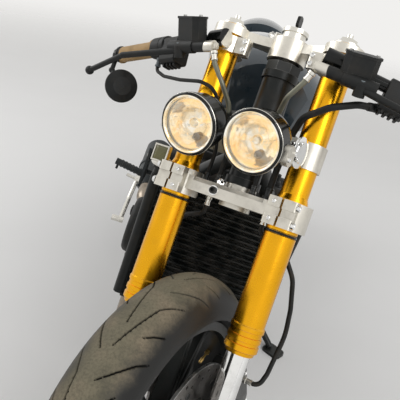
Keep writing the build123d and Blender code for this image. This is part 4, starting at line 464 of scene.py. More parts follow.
def clean_mesh(mesh, merge=True, outward=True):
    """Merge a mesh's points that fall together, and turn its faces outwards."""
    work = bmesh.new()
    work.from_mesh(mesh)
    if merge:
        bmesh.ops.remove_doubles(work, verts=work.verts, dist=MERGE_WITHIN)
    if outward:
        bmesh.ops.recalc_face_normals(work, faces=work.faces)
    work.to_mesh(mesh)
    work.free()


def make_piece(name, points, faces, body, material, slot, smooth=40.0, merge=True, attributes=()):
    """A mesh from arrays of points and quads, cleaned, shaded smooth up to an angle in degrees.

    Attributes are rows of a label and an array with a number for each point.
    """
    mesh = bpy.data.meshes.new(name)
    mesh.from_pydata(np.asarray(points, float).tolist(), [], np.asarray(faces).tolist())
    for label, values in attributes:
        mesh.attributes.new(label, "FLOAT", "POINT").data.foreach_set("value", values.ravel())
    clean_mesh(mesh, merge)
    mesh.materials.append(material)
    piece = bpy.data.objects.new(name, mesh)
    scene.collection.objects.link(piece)
    mesh.shade_smooth()
    mesh.set_sharp_from_angle(angle=np.radians(smooth))
    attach(piece, body)
    print(name, len(mesh.polygons), "faces on", body)
    return piece


def side_axes(direction):
    """Two directions square to a direction and to each other."""
    direction = unit(direction)
    guide = np.array([0.0, 0.0, 1.0]) if abs(direction[2]) < 0.9 else np.array([1.0, 0.0, 0.0])
    first = unit(np.cross(guide, direction))
    return first, np.cross(direction, first)


def turned(profile, steps=32, sides=None):
    """A profile of (radius, height) rows carried round the height's axis.

    With sides, a row whose radius is negative is a polygon with that many sides, and the size of
    its radius is half the distance across flats: r = size / cos(angle from the middle of the flat).
    """
    profile = np.asarray(profile, float)
    angle = np.arange(steps) * 2 * np.pi / steps
    radius = np.abs(profile[:, :1]) * np.ones((1, steps))
    if sides:
        flat_step = 2 * np.pi / sides
        off_middle = (angle + flat_step / 2) % flat_step - flat_step / 2
        radius = np.where(profile[:, :1] < 0, radius / np.cos(off_middle)[None, :], radius)
    points = np.stack(
        [radius * np.cos(angle), radius * np.sin(angle), profile[:, 1:] * np.ones((1, steps))], axis=-1
    )
    return points.reshape(-1, 3), grid_faces(len(profile), steps)


def copies(shape, places, directions, sizes=1.0):
    """Copies of one shape: each is scaled, its height laid along a direction, and moved to a place."""
    points, faces = shape
    places = np.atleast_2d(places)
    axes = np.array([[*side_axes(way), unit(way)] for way in np.atleast_2d(directions)])
    sizes = np.broadcast_to(np.asarray(sizes, float), len(places))
    placed = places[:, None, :] + sizes[:, None, None] * np.einsum("pk,nkw->npw", points, axes)
    shifted = faces[None, :, :] + (np.arange(len(places)) * len(points))[:, None, None]
    return placed.reshape(-1, 3), shifted.reshape(-1, 4)


def joined(*shapes):
    """Several shapes as one list of points and faces."""
    points = np.concatenate([shape[0] for shape in shapes])
    starts = np.cumsum([0] + [len(shape[0]) for shape in shapes[:-1]])
    return points, np.concatenate([shape[1] + start for shape, start in zip(shapes, starts)])


# %% [markdown]
# ## Fasteners
#
# A cap screw is a turned shape: a hexagon socket, a flat rim with a small chamfer and a straight side.
# A hexagon bolt and a domed nut are turned too, with a row of the profile made six-sided. One shape of
# each is worked out at a radius of one, and every screw on the machine is a scaled copy of it.

# %% Screws, bolts and nuts at unit size
SCREW = turned(
    [(0, 0.25), (-0.48, 0.25), (-0.48, 0.8), (-0.56, 0.92), (0.86, 0.92), (1.0, 0.8), (1.0, 0), (0, 0)],
    steps=24,
    sides=6,
)
HEX_BOLT = turned(
    [(0, 0.62), (-0.7, 0.62), (-0.84, 0.56), (-0.84, 0.14), (1.12, 0.14), (1.12, 0), (0, 0)],
    steps=24,
    sides=6,
)
DOME_NUT = turned(
    [(0, 1.5), (0.3, 1.46), (0.55, 1.33), (0.72, 1.1), (0.78, 0.85)]
    + [(-0.86, 0.7), (-0.86, 0.1), (1.1, 0.1), (1.1, 0), (0, 0)],
    steps=24,
    sides=6,
)
WASHER = turned([(0, 0.2), (1.0, 0.2), (1.05, 0.1), (1.05, 0), (0, 0)], steps=24)
print("screw", len(SCREW[1]), "faces")

# %% [markdown]
# ## Where the small parts go
#
# Screws, nuts, caps and ferrules are laid out in tables, one row each: a place in millimetres of the
# fork's or the body's frame, the way that the head faces and its radius. A fork has two sides, so a row
# can be mirrored: x changes its sign in the place and in the direction.
#
# The first table has the yokes' screws. Each lower clamp is pinched by two cap screws across its slot,
# each upper one by a screw behind the leg.

# %% Fasteners of the fork
LEG_X, LUG_SIDE = 110.0, 26.0
LEFT, RIGHT, AHEAD, UP, DOWN = (1, 0, 0), (-1, 0, 0), (0, -1, 0), (0, 0, 1), (0, 0, -1)
FRAME_OF = {"steering": FORK, "front_wheel": FORK, "rear_wheel": BODY, "root": BODY}


def set_out(name, shape, rows, finish, slot, body="steering", mirrored=True):
    """One piece from a shape at unit size and rows of (place, direction, radius), on one or both sides."""
    places, ways, sizes = [], [], []
    for place, way, size in rows:
        for side in (1, -1) if mirrored else (1,):
            places.append(np.array(place) * (side, 1, 1))
            ways.append(FRAME_OF[body].along(np.array(way) * (side, 1, 1)))
            sizes.append(size / 1000)
    make_piece(name, *copies(shape, FRAME_OF[body].at(places), ways, sizes), body, HARD[finish], slot)


yoke_rows = [((LEG_X - 15, 38, 743.5), RIGHT, 5.0)]
for height in (434.0, 464.0):
    yoke_rows.append(((LEG_X + LUG_SIDE, -43, height), LEFT, 6.0))
    yoke_rows.append(((LEG_X - 14, -48.5, height + 0.5), AHEAD, 3.6))
set_out("yoke_screws", SCREW, yoke_rows, "polished_chrome", "chrome")

# %% [markdown]
# ## Tyres with a worn tread
#
# A road tyre is a ring of round section. Its grooves repeat every tenth of a turn, and the ones on
# the right are those on the left, mirrored and shifted. Cutting them with booleans would be slow and
# leave a poor mesh. So the tyre is one grid over the angle round the axle and the angle across the
# tread, and each point sinks by its distance to the nearest groove. Points that come close to a
# groove's edge are first moved onto it, so that the edges stay crisp on a coarse grid.

# %% The tread's pattern and the tyre's surface
REPEATS = 10
GROOVE_DEPTH = 0.0042
# Half the tread's angle across, and the angle round the axle that the pattern starts at
TREAD_HALF, PATTERN_START = 78, 26.0
SEAM_HEIGHT, SEAM_WIDTH = 0.0003, 0.0012
# A point this many cells inside or outside a groove's edge is moved onto it
SNAP_INSIDE, SNAP_OUTSIDE = 0.2, 0.65
SIDE_SHIFT = 8.0
# Each groove as rows of angle round the axle, angle across the tread (both in degrees), half width in mm
GROOVES = (
    (
        *((26.4, 46.3, 1.4), (30.2, 31.5, 1.7), (33.7, 21.1, 1.8)),
        *((38.7, 16.5, 1.8), (45.7, 8.9, 1.8), (51.1, 3.6, 1.5)),
    ),
    ((44.3, 31.6, 1.6), (41.6, 43.0, 1.7), (39.2, 55.8, 1.4)),
    ((61.3, 10.8, 1.5), (57.9, 25.3, 1.8), (54.6, 38.0, 1.8), (52.1, 47.0, 1.7), (49.0, 62.8, 1.4)),
)


def groove_pieces(ring, tube):
    """Straight stretches of all grooves near one period: start, run and half widths, in metres.

    The tread is unrolled: u is the angle round the axle times the ring's radius at the crown, and v the
    angle across the tread times the tube's radius.
    """
    around = np.radians(1.0) * (ring + tube * 0.93)
    across = np.radians(1.0) * tube
    starts, ends, widths = [], [], []
    period = 360 / REPEATS
    for groove in GROOVES:
        for mirrored in (1, -1):
            for shift in (-period, 0, period):
                line = np.array(groove)
                line[:, 0] = line[:, 0] + shift - (SIDE_SHIFT if mirrored < 0 else 0)
                line[:, 1] *= mirrored
                flat = line[:, :2] * (around, across)
                starts.append(flat[:-1])
                ends.append(flat[1:])
                widths.append(np.stack([line[:-1, 2], line[1:, 2]], axis=1) / 1000)
    return np.concatenate(starts), np.concatenate(ends), np.concatenate(widths), around, across


def tyre_grid(ring, tube, inner, lip, seat, steps, rows):
    """Points of a tyre about the X axis, with each one's depth in a groove and its place on the tread.

    Section: the crown is x = tube * sin(b), radius = ring + tube * cos(b), for b up to TREAD_HALF degrees
    to each side. The walls run in from there to the beads with a slight bulge, and a seat closes the loop.
    """
    period = 360 / REPEATS
    start, end, width, around, across = groove_pieces(ring, tube)
    turn = np.linspace(0, period, steps, endpoint=False)
    lean = np.linspace(-TREAD_HALF, TREAD_HALF, rows)
    u, v = np.meshgrid(turn * around, lean * across, indexing="ij")
    u = u + PATTERN_START * around
    flat = np.stack([u, v], axis=-1)[:, :, None, :]
    run = end - start
    share = np.clip(np.sum((flat - start) * run, axis=-1) / np.sum(run * run, axis=-1), 0, 1)
    nearest = start + share[..., None] * run
    away = np.linalg.norm(flat - nearest, axis=-1)
    half_width = width[:, 0] + (width[:, 1] - width[:, 0]) * share
    over = away - half_width
    best = np.argmin(over, axis=-1)[..., None]
    over = np.take_along_axis(over, best, axis=-1)[..., 0]
    away = np.take_along_axis(away, best, axis=-1)[..., 0]
    close = np.take_along_axis(nearest, best[..., None], axis=2)[:, :, 0, :]
    cell = max(turn[1] * around, (lean[1] - lean[0]) * across)
    onto = (over > -SNAP_INSIDE * cell) & (over < SNAP_OUTSIDE * cell)
    outward = (flat[:, :, 0, :] - close) / np.maximum(away, 1e-6)[..., None]
    shift = np.where(onto, -over, 0.0)[..., None] * outward
    u, v = u + shift[..., 0], v + shift[..., 1]
    sunk = np.where(~onto & (over < 0), 1.0, 0.0)
    # A fine seam runs round the crown
    lift = SEAM_HEIGHT * np.exp(-((lean * across / SEAM_WIDTH) ** 2))
    b, round_angle = np.radians(v / across), np.radians(u / around)
    reach = tube + lift - GROOVE_DEPTH * sunk
    radius, offset = ring + reach * np.cos(b), reach * np.sin(b)
    # Walls, beads and seat, the same all round
    low = np.radians(lean[-1])
    wall = np.array(
        [
            (tube * np.sin(low + 0.12), ring + tube * np.cos(low + 0.12)),
            (tube, ring + 0.001),
            (tube * 0.99, ring - 0.004),
            (inner + 0.55 * (tube - inner), lip + 0.45 * (ring - lip) + 0.001),
            (inner + 0.004, lip + 0.0025),
            (inner + 0.0005, lip + 0.0005),
            (inner, lip - 0.001),
            (inner, seat),
        ]
    )
    wall_x = np.concatenate([wall[:, 0], -wall[::-1, 0]])
    wall_r = np.concatenate([wall[:, 1], wall[::-1, 1]])
    ones = np.ones((steps, 1))
    offset = np.concatenate([offset, ones * wall_x], axis=1)
    radius = np.concatenate([radius, ones * wall_r], axis=1)
    tail = np.radians(turn[:, None] + PATTERN_START) * np.ones((1, len(wall_x)))
    round_angle = np.concatenate([round_angle, tail], axis=1)
    sunk = np.concatenate([sunk, np.zeros((steps, len(wall_x)))], axis=1)
    tread = np.concatenate([np.cos(b) ** 2, np.zeros((steps, len(wall_x)))], axis=1)
    every = round_angle[None] + np.arange(REPEATS)[:, None, None] * np.radians(period)
    grids = [np.tile(grid, (REPEATS, 1)) for grid in (offset, radius, sunk, tread)]
    return every.reshape(grids[0].shape), *grids


SEAT_RADIUS, LIP_RADIUS, BEAD_IN = 0.2173, 0.228, 0.006


def make_tyre(name, node, body, centre, ring, tube, rim_width, material):
    """A tyre that stands for a node. Its axle is the X axis of its frame, and angle 0 is up the frame's Z."""
    grid = tyre_grid(ring, tube, rim_width / 2 - BEAD_IN, LIP_RADIUS, SEAT_RADIUS, steps=100, rows=80)
    angle, offset, radius, sunk, tread = grid
    local = np.stack([offset, -radius * np.sin(angle), radius * np.cos(angle)], axis=-1).reshape(-1, 3)
    points = centre + local @ FRAME_OF[body].axes
    faces = grid_faces(*offset.shape, closed_rows=True)[:, ::-1]
    marks = (("groove", sunk), ("tread", tread))
    piece = make_piece(name, points, faces, body, material, "rubber_tyre", 42.0, False, marks)
    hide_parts(node)
    print("tread sunk at", int(sunk.sum()), "points")


# %% [markdown]
# Rubber that has been ridden is grey-brown on the tread, where fine dust sticks, and near black in
# the grooves, on the walls and wherever the dust has rubbed off. The two attributes of the grid say
# where that is, and noise breaks up the borders.

# %% Tyre rubber and the two tyres
rubber, tree = new_material("tyre_rubber")
where = own_place(tree)
tread = add(tree, "ShaderNodeAttribute", attribute_name="tread").outputs["Fac"]
groove = add(tree, "ShaderNodeAttribute", attribute_name="groove").outputs["Fac"]
cloud = noise(tree, where, 14.0, 6.0, Roughness=0.6)
speck = noise(tree, where, 260.0, 3.0, Roughness=0.7)
drift = calc(tree, "ADD", tread, calc(tree, "MULTIPLY", calc(tree, "SUBTRACT", cloud, 0.5), 1.1))
dusty = calc(tree, "MULTIPLY", ramp(tree, drift, 0.25, 0.95), ramp(tree, speck, 0.25, 0.65, 0.62, 1.0))
dusty = calc(tree, "MULTIPLY", dusty, calc(tree, "SUBTRACT", 1.0, groove))
dust_tone = blend(tree, ramp(tree, cloud, 0.4, 0.7), (0.185, 0.166, 0.115, 1), (0.240, 0.198, 0.138, 1))
height = calc(tree, "ADD", speck, calc(tree, "MULTIPLY", cloud, 0.5))
inputs = {
    "Base Color": blend(tree, dusty, (0.012, 0.012, 0.0115, 1), dust_tone),
    "Roughness": ramp(tree, dusty, 0.0, 1.0, 0.52, 0.85),
    "Specular IOR Level": 0.3,
    "Normal": bump(tree, height, 0.35, 0.0006),
}
finished(tree, inputs)
make_tyre("front_tyre_tread", "front_tyre", "front_wheel", front_axle, 0.240, 0.060, 0.089, rubber)
make_tyre("rear_tyre_tread", "rear_tyre", "rear_wheel", rear_axle, 0.225, 0.090, 0.140, rubber)

# %% [markdown]
# ## Head lamps
#
# A lamp is a mirror bowl behind a clear lens. In a studio as pale as this a perfect mirror would be
# one flat white, so the bowl gets the shallow steps and ripples that a pressed reflector has, and
# warm and pale patches of colour over bright metal, painted in as reflections, which also glow
# faintly as painted light. The lens is made see-through by its Alpha, which grows to
# solid where it is seen edge on, so that light still reaches the bowl.

# %% Reflector and lens materials
reflector, tree = new_material("reflector_mirror")
where = own_place(tree)
ripple = noise(tree, where, 42.0, 2.0)
cells = add(tree, "ShaderNodeTexVoronoi", {"Vector": where, "Scale": 55.0, "Randomness": 0.6})
steps = calc(tree, "ADD", calc(tree, "MULTIPLY", cells.outputs["Distance"], 0.7), ripple)
# Warm and pale patches of colour by the ripple noise: painted reflection in the bowl
painted_reflection_tint = blend(tree, ramp(tree, ripple, 0.40, 0.62), (1.0, 0.80, 0.50, 1), (1.0, 0.96, 0.86, 1))
inputs = {
    "Base Color": painted_reflection_tint,
    "Metallic": 1.0,
    "Roughness": 0.16,
    # The same colour again as a faint glow: painted light, as the lamps are not lit
    "Emission Color": painted_reflection_tint,
    "Emission Strength": 0.16,
    "Normal": bump(tree, steps, 0.35, 0.005),
}
finished(tree, inputs)

lens_glass, tree = new_material("lens_glass")
film = noise(tree, own_place(tree), 30.0, 5.0)
rim_light = add(tree, "ShaderNodeFresnel", {"IOR": 1.45}).outputs[0]
cover = calc(tree, "ADD", calc(tree, "MULTIPLY", rim_light, 0.7), ramp(tree, film, 0.4, 0.8, 0.03, 0.10))
inputs = {
    "Base Color": blend(tree, film, (0.85, 0.84, 0.80, 1), (0.95, 0.94, 0.90, 1)),
    "Roughness": ramp(tree, film, 0.3, 0.7, 0.03, 0.10),
    "Alpha": cover,
}
finished(tree, inputs)
paint("lamp_reflectors", reflector)
paint("lamp_lenses", lens_glass)
print("lamps painted")

# %% [markdown]
# Low in each bowl sits a small pilot bulb in a dark socket: two turned shapes on the lamp's own axes,
# which are left, up and ahead.

# %% Pilot bulbs
LAMP_CENTRE, PILOT = (58.5, -136.0, 534.0), (3, -25, -30)
LAMP_AXES = np.array([(1, 0, 0), (0, -np.sin(RAKE), np.cos(RAKE)), (0, -np.cos(RAKE), -np.sin(RAKE))])
BOTH_SIDES = np.array([(1, 1, 1), (-1, 1, 1)])


def in_lamps(shape, offset=(0, 0, 0), size=0.001):
    """A shape in both lamps, its height ahead: centre + offset * (left, up, ahead), in millimetres."""
    centres = LAMP_CENTRE * BOTH_SIDES + np.array(offset) @ LAMP_AXES
    return copies(shape, FORK.at(centres), [FORK.along(LAMP_AXES[2])] * 2, size)


BULB = turned([(0, 11), (2.2, 10.2), (3.6, 8), (4, 5), (3.6, 0), (0, 0)], steps=20)
SOCKET = turned([(0, 1), (4.5, 1), (7, 0), (7, -12), (0, -12)], steps=20)
make_piece("pilot_bulbs", *in_lamps(BULB, PILOT), "steering", lens_glass, "lens_glass")
make_piece("pilot_sockets", *in_lamps(SOCKET, PILOT), "steering", HARD["pipe_steel"], "steel")

# %% [markdown]
# ## Pieces of two finishes
#
# A clip-on bar has a bare alloy clamp and a black tube, a grip has a tan sleeve between black ends, and
# the key in the lock has a black bow. Each of these is one solid, so its material blends two finishes
# by a mask. The mask measures where a point lies in the fork's frame: the dot product of its offset
# from the origin with an axis gives the distance along that axis.

# %% Masks in the fork's frame, and a material of two finishes


def along(tree, frame, axis):
    """How far a point lies along one axis (0, 1 or 2) of a frame, in metres: dot(point - origin, axis)."""
    origin, run = frame.origin.tolist(), frame.axes[axis].tolist()
    offset = add(tree, "ShaderNodeVectorMath", {0: own_place(tree), 1: origin}, operation="SUBTRACT")
    reach = add(tree, "ShaderNodeVectorMath", {0: offset.outputs[0], 1: run}, operation="DOT_PRODUCT")
    return reach.outputs["Value"]


def outward(tree):
    """The distance from the fork's middle plane, |x|."""
    return calc(tree, "ABSOLUTE", along(tree, FORK, 0))


def two_finishes(name, first, second, mask):
    """A material that shows the second finish's row where the mask is 1. A row is as in the table."""
    material, tree = new_material(name)
    one, two = worn_node(tree, first), worn_node(tree, second)
    share = mask(tree)
    rough = add(tree, "ShaderNodeMix", {0: share, 2: one["Roughness"], 3: two["Roughness"]}).outputs[0]
    inputs = {
        "Base Color": blend(tree, share, one["Color"], two["Color"]),
        "Roughness": rough,
        "Metallic": ramp(tree, share, 0.0, 1.0, first[4], second[4]),
        "Specular IOR Level": 0.3,
        "Normal": bump(tree, one["Height"], first[8], SKIN_RELIEF),
    }
    finished(tree, inputs)
    return material


def clamp_mask(tree):
    """1 within 41 mm of either leg's axis, sqrt((|x| - 110)^2 + y^2), and on the lug inside it."""
    x = calc(tree, "SUBTRACT", outward(tree), LEG_X / 1000)
    reach = hypot(tree, x, along(tree, FORK, 1))
    return calc(tree, "MAXIMUM", ramp(tree, x, -0.014, -0.0145), ramp(tree, reach, 0.0415, 0.041))


def key_mask(tree):
    """1 above the lock's face, where the key's blade and bow are."""
    return ramp(tree, along(tree, FORK, 2), 0.7835, 0.7845)


def braid_mask(tree):
    """1 on the two brake lines above the lamps: y < -30 mm and z > 498 mm + 1.68 |x|."""
    front = ramp(tree, along(tree, FORK, 1), -0.030, -0.034)
    over = calc(tree, "SUBTRACT", along(tree, FORK, 2), calc(tree, "MULTIPLY", outward(tree), 1.68))
    return calc(tree, "MULTIPLY", front, ramp(tree, over, 0.498, 0.500))


def barrel_mask(tree):
    """1 on the inner end of a master cylinder, nearer than 116 mm to the fork's middle plane."""
    return ramp(tree, outward(tree), 0.1165, 0.1155)


def disc_unshaded_edge_mask(tree):
    """1 on the front discs' edges, more than 157.5 mm from the axle: the square root of y^2 + z^2. Inside the
    edge the disc's face gets dark oiled steel as painted shade.
    """
    return ramp(tree, hypot(tree, along(tree, FORK, 1), along(tree, FORK, 2)), 0.1570, 0.1575)


def grip_mask(tree):
    """1 on the flanges at both ends of a grip, by the distance out from the fork's middle plane."""
    out = outward(tree)
    inner = ramp(tree, out, GRIP_IN + 0.0005, GRIP_IN)
    return calc(tree, "MAXIMUM", inner, ramp(tree, out, GRIP_OUT - 0.0005, GRIP_OUT))


ROWS = {row[0]: row for row in HARD_ROWS}
BAR_RUN = unit((113, 40, -18))
GRIP_IN = (LEG_X + BAR_RUN[0] * 184.5) / 1000
GRIP_OUT = (LEG_X + BAR_RUN[0] * 295.0) / 1000
TAN = ("grip_tan", (0.42, 0.27, 0.12), (0.55, 0.40, 0.22), 0.6, 0.0, 0.4, 0.35, 0.0012, 0.6)
BRAID = ("braided_line", (0.20, 0.20, 0.155), (0.5, 0.5, 0.45), 0.35, 0.6, 0.5, 0.2, 0.0011, 0.9)
for node, first, second, mask in (
    ("handlebars", ROWS["gloss_black"], ROWS["satin_alloy"], clamp_mask),
    ("ignition_housing", ROWS["machined_alloy"], ROWS["gloss_black"], key_mask),
    ("grips", TAN, ROWS["moulded_black"], grip_mask),
    ("hoses", ROWS["hose_rubber"], BRAID, braid_mask),
    # The front discs' face is dark oiled steel as painted shade; the edge keeps the disc's ground steel
    ("front_discs", ROWS["oiled_steel"], ROWS["ground_steel"], disc_unshaded_edge_mask),
    ("brake_master", ROWS["moulded_black"], ROWS["satin_alloy"], barrel_mask),
    ("clutch_perch", ROWS["moulded_black"], ROWS["satin_alloy"], barrel_mask),
):
    paint(node, two_finishes(node + "_finish", first, second, mask))
print("two finishes each on bars, lock, grips, lines, discs and cylinders")

# %% [markdown]
# ## Small parts of the fork
#
# Round the fork sit the screws of its brackets and calipers, the ends of its hoses and cables, and the
# plugs and screws of its two master cylinders, whose own axes give the directions.

# %% Tables of the fork's small parts


def ring_rows(x, centre, radius, count, size, start=0.0, way=1.0):
    """Rows round a circle in side view: (y, z) = centre + radius * (cos(angle), sin(angle))."""
    angle = np.radians(start + np.arange(count) * 360 / count)
    places = zip(centre[0] + radius * np.cos(angle), centre[1] + radius * np.sin(angle))
    return [((x, y, z), (way, 0, 0), size) for y, z in places]


FERRULE = turned(
    [(0, 0), (1.25, 0), (1.25, 0.9), (1.0, 1.1), (1.0, 2.6), (1.15, 2.7), (1.15, 3.2), (0.8, 3.4), (0, 3.4)]
)
BUTTON = turned([(0, 0.55), (0.7, 0.52), (0.92, 0.4), (1.0, 0.2), (1.0, 0), (0, 0)])
LEVER_UP = unit((0.12, -0.4, 0.91))
LEVER_SIDE = unit((57, 25, 3.5))
LEVER_BACK = np.cross(LEVER_UP, LEVER_SIDE)
RESERVOIR = np.array((163.0, -62.0, 685.0))
CYLINDER_WAY = unit((-100, -20, 12))
HOSE_WAY = unit((-8, 1, -18))


def lid_rows(side, width, depth, height):
    """Two screws near the ends of a reservoir's lid. The right reservoir is on the mirrored side."""
    middle = RESERVOIR + LEVER_BACK * depth / 2 + LEVER_UP * height
    ends = [middle + LEVER_SIDE * reach for reach in (-width / 2 + 8, width / 2 - 8)]
    return [(end * (side, 1, 1), LEVER_UP * (side, 1, 1), 3.4) for end in ends]


fork_screws = [
    ((66, -24, 708.5), AHEAD, 4.6),
    ((66, -24, 723.5), AHEAD, 4.6),
    ((88, -34, 543), AHEAD, 4.2),
    ((88, -34, 566), AHEAD, 4.2),
    ((116.8, -96, 541), LEFT, 4.2),
    ((116.8, -112, 527), LEFT, 4.2),
    ((107, 86.3, 148.5), LEFT, 4.4),
    ((107, 148.5, 86.3), LEFT, 4.4),
    ((107, 52.3, 114.5), LEFT, 4.4),
    ((107, 114.5, 52.3), LEFT, 4.4),
]
set_out("fork_screws", SCREW, fork_screws, "polished_chrome", "chrome")
set_out("web_screw", SCREW, [((-25, -27.9, 449), AHEAD, 6.6)], "black_coat", "black_metal", mirrored=False)
set_out("web_ring", WASHER, [((-25, -27.3, 449), AHEAD, 9.0)], "polished_chrome", "chrome", mirrored=False)
set_out("web_nuts", DOME_NUT, [((-22, -14, 463), UP, 8.0)], "polished_chrome", "chrome", mirrored=False)
lids = lid_rows(1, 59, 32, 40) + lid_rows(-1, 65, 34, 50)
set_out("lid_screws", SCREW, lids, "ground_steel", "steel", mirrored=False)
set_out("cylinder_plugs", HEX_BOLT, [((96, -72, 690), CYLINDER_WAY, 8.0)], "satin_alloy", "alloy")
pivots = [(np.array((172, -58, 674)) + np.array((0.12, -0.4, 0.91)) * 8, LEVER_UP, 6.5)]
set_out("lever_pivots", SCREW, pivots, "slate_plastic", "control_black")
hose_ends = [((93, -73.2, 680), HOSE_WAY, 5.2), ((107.2, 96, 134), LEFT, 5.4), ((60, 40, 437), DOWN, 5.4)]
set_out("hose_ferrules", FERRULE, hose_ends, "machined_alloy", "alloy")
cable_ends = [((-64, 8, 462.6), UP, 4.6), ((62, 8, 462.6), UP, 7.0)]
cable_ends += [((x, 0, 462.6), UP, 5.4) for x in (36, -36)]
set_out("cable_ferrules", FERRULE, cable_ends, "black_anodised", "black_metal", mirrored=False)
elbow = [((-256, 13, 669), (2, -2, -24), 5.2)]
set_out("throttle_ferrule", FERRULE, elbow, "slate_plastic", "control_black", mirrored=False)
EAR_WAY = (0.991, -0.134, 0)
EARS = turned([(0, -1), (25.5, -1), (26.5, 0), (26.5, 2.4), (25.5, 3.2), (17, 3.2), (16, 4.4), (0, 4.4)], 48)
set_out("ear_flanges", EARS, [((113, -62, 550), EAR_WAY, 1.0)], "polished_chrome", "chrome")
ear_places = [((116, -74, 550 + step), EAR_WAY, 4.2) for step in (-14, 12)]
set_out("ear_screws", SCREW, ear_places, "polished_chrome", "chrome")
RING = turned([(26.8, 0.1), (28.9, 0.6), (28.9, 4.2), (26.8, 4.7), (26.8, 0.1)], 64)
set_out("leg_rings", RING, [((LEG_X, 0, 414), UP, 1.0)], "gloss_black", "black_metal")

# %% [markdown]
# The wheels' small parts ride on the wheels: bobbins that let a disc float on its carrier, the carrier's
# bolts, the sprocket's nuts and a valve for each tyre. Angle 0 of a ring points backwards.

# %% Wheels, engine and frame
WHEEL_TURN, DISC_OUT = 5.0, 100.4
rear = (WHEELBASE / 2, REAR_RADIUS)
bobbins = ring_rows(70.4, (0, 0), 124, 8, 6.5, WHEEL_TURN + 22.5)
carrier = ring_rows(70.4, (0, 0), 31, 5, 4.4, WHEEL_TURN)
set_out("front_bobbins", WASHER, bobbins, "black_anodised", "black_metal", "front_wheel")
set_out("front_disc_bolts", SCREW, carrier, "satin_alloy", "alloy", "front_wheel")
bobbins = ring_rows(-DISC_OUT, rear, 80, 6, 6.5, WHEEL_TURN + 30, -1.0)
carrier = ring_rows(-DISC_OUT, rear, 31, 5, 4.4, WHEEL_TURN, -1.0)
nuts = ring_rows(110, rear, 45, 5, 6.5, 10.0)
set_out("rear_bobbins", WASHER, bobbins, "black_anodised", "black_metal", "rear_wheel", False)
set_out("rear_disc_bolts", SCREW, carrier, "satin_alloy", "alloy", "rear_wheel", False)
set_out("sprocket_nuts", HEX_BOLT, nuts, "ground_steel", "steel", "rear_wheel", False)
VALVE = turned([(0, 34), (2.6, 34), (3.6, 32), (3.6, 22), (2.4, 21), (2.4, 9), (5, 7), (5, 0), (0, 0)], 16)
valve_turn = np.radians(WHEEL_TURN + 36)
out = np.array((0, np.cos(valve_turn), np.sin(valve_turn)))
for end, centre in (("front", (0, 0, 0)), ("rear", (0, *rear))):
    valve_row = [(centre + out * 207.5, -out, 1.0)]
    set_out(end + "_valve", VALVE, valve_row, "brass_oiled", "steel", end + "_wheel", False)

covers = ring_rows(-164.0, (-40, 322), 94, 9, 4.0, 12.0, -1.0)
covers += ring_rows(162.0, (-110, 310), 72, 7, 4.0, 20.0)
set_out("cover_screws", SCREW, covers, "satin_alloy", "engine_alloy", "root", False)
ports = [((x + step, -249, 530), AHEAD, 4.6) for x in (-135, -40, 40, 135) for step in (-22, 22)]
set_out("port_nuts", DOME_NUT, ports, "satin_alloy", "steel", "root", False)
FILLER = turned(
    [(0, 0.55), (0.3, 0.62), (0.62, 0.55), (-0.9, 0.5), (-0.96, 0.42), (-0.96, 0), (0, 0)], sides=8
)
filler_row = [((-207.5, -20, 352), RIGHT, 15.0)]
set_out("oil_filler", FILLER, filler_row, "moulded_black", "black_metal", "root", False)
CAP = turned([(0, 0.5), (0.75, 0.46), (0.8, 0.36), (-1.15, 0.34), (-1.15, 0.05), (1.0, 0), (0, 0)], sides=12)
set_out("radiator_cap", CAP, [((-159, -384, 664), UP, 19.0)], "machined_alloy", "alloy", "root", False)
PLUG = turned([(0, 2.4), (0.5, 2.3), (0.6, 1.0), (0.95, 0.8), (1.05, 0.3), (1.05, 0), (0, 0)])
plugs = [((x, -152, 624), UP, 12.0) for x in (-120, -40, 40, 120)]
set_out("plug_caps", PLUG, plugs, "moulded_black", "control_black", "root", False)
pivot_ends = [((156, 225, 330), LEFT, 12.0), ((232, 220, 372), LEFT, 7.0), ((232, 215, 440), LEFT, 7.0)]
set_out("pivot_bolts", HEX_BOLT, pivot_ends, "machined_alloy", "alloy", "root")
set_out("lever_bolts", HEX_BOLT, [((242.3, 165, 368), LEFT, 7.5)], "ground_steel", "steel", "root")
angle = np.radians(np.arange(6) * 60 + 30)
cap_rows = [((27 * np.cos(a), -150 + 27 * np.sin(a), 962.2), UP, 2.7) for a in angle]
set_out("filler_screws", SCREW, cap_rows, "ground_steel", "steel", "root", False)

# %% [markdown]
# ## Radiator fins, chain pins, mirror glass and lamp rings
#
# Between the radiator's slats run fins folded from foil: a zigzag whose depth switches at each step.
# A chain's plates are held by riveted pins, one at each pitch of the loop, so their places are worked
# out along the loop: two straight runs and an arc round each sprocket. The mirrors get a domed glass,
# and each head lamp a bright ring round its lens in the reflector's material, with its painted reflection
# and glow, and a thin bright alloy ring at its black rim that is a painted highlight on the rim's bevel.

# %% Fins
CORE_HALF, CORE_FRONT, CORE_BASE, SLAT_PITCH, SLATS = 146.0, -394.0, 335.0, 13.0, 23
across = np.arange(-CORE_HALF + 1, CORE_HALF - 1, 1.6)
depth = np.where(np.arange(len(across)) % 2, CORE_FRONT - 3.2, CORE_FRONT - 0.4)
heights = CORE_BASE + 7.0 + SLAT_PITCH * np.arange(SLATS)[:, None] + np.array([0.2, 9.6])
grid = np.zeros((SLATS, 2, len(across), 3))
grid[..., 0], grid[..., 1], grid[..., 2] = across, depth, heights[:, :, None]
one = grid_faces(2, len(across), closed_columns=False)
fins = (one[None] + np.arange(SLATS)[:, None, None] * 2 * len(across)).reshape(-1, 4)
fin_points = BODY.at(grid.reshape(-1, 3))
make_piece("radiator_fins", fin_points, fins, "root", HARD["black_coat"], "black_metal", 20.0)

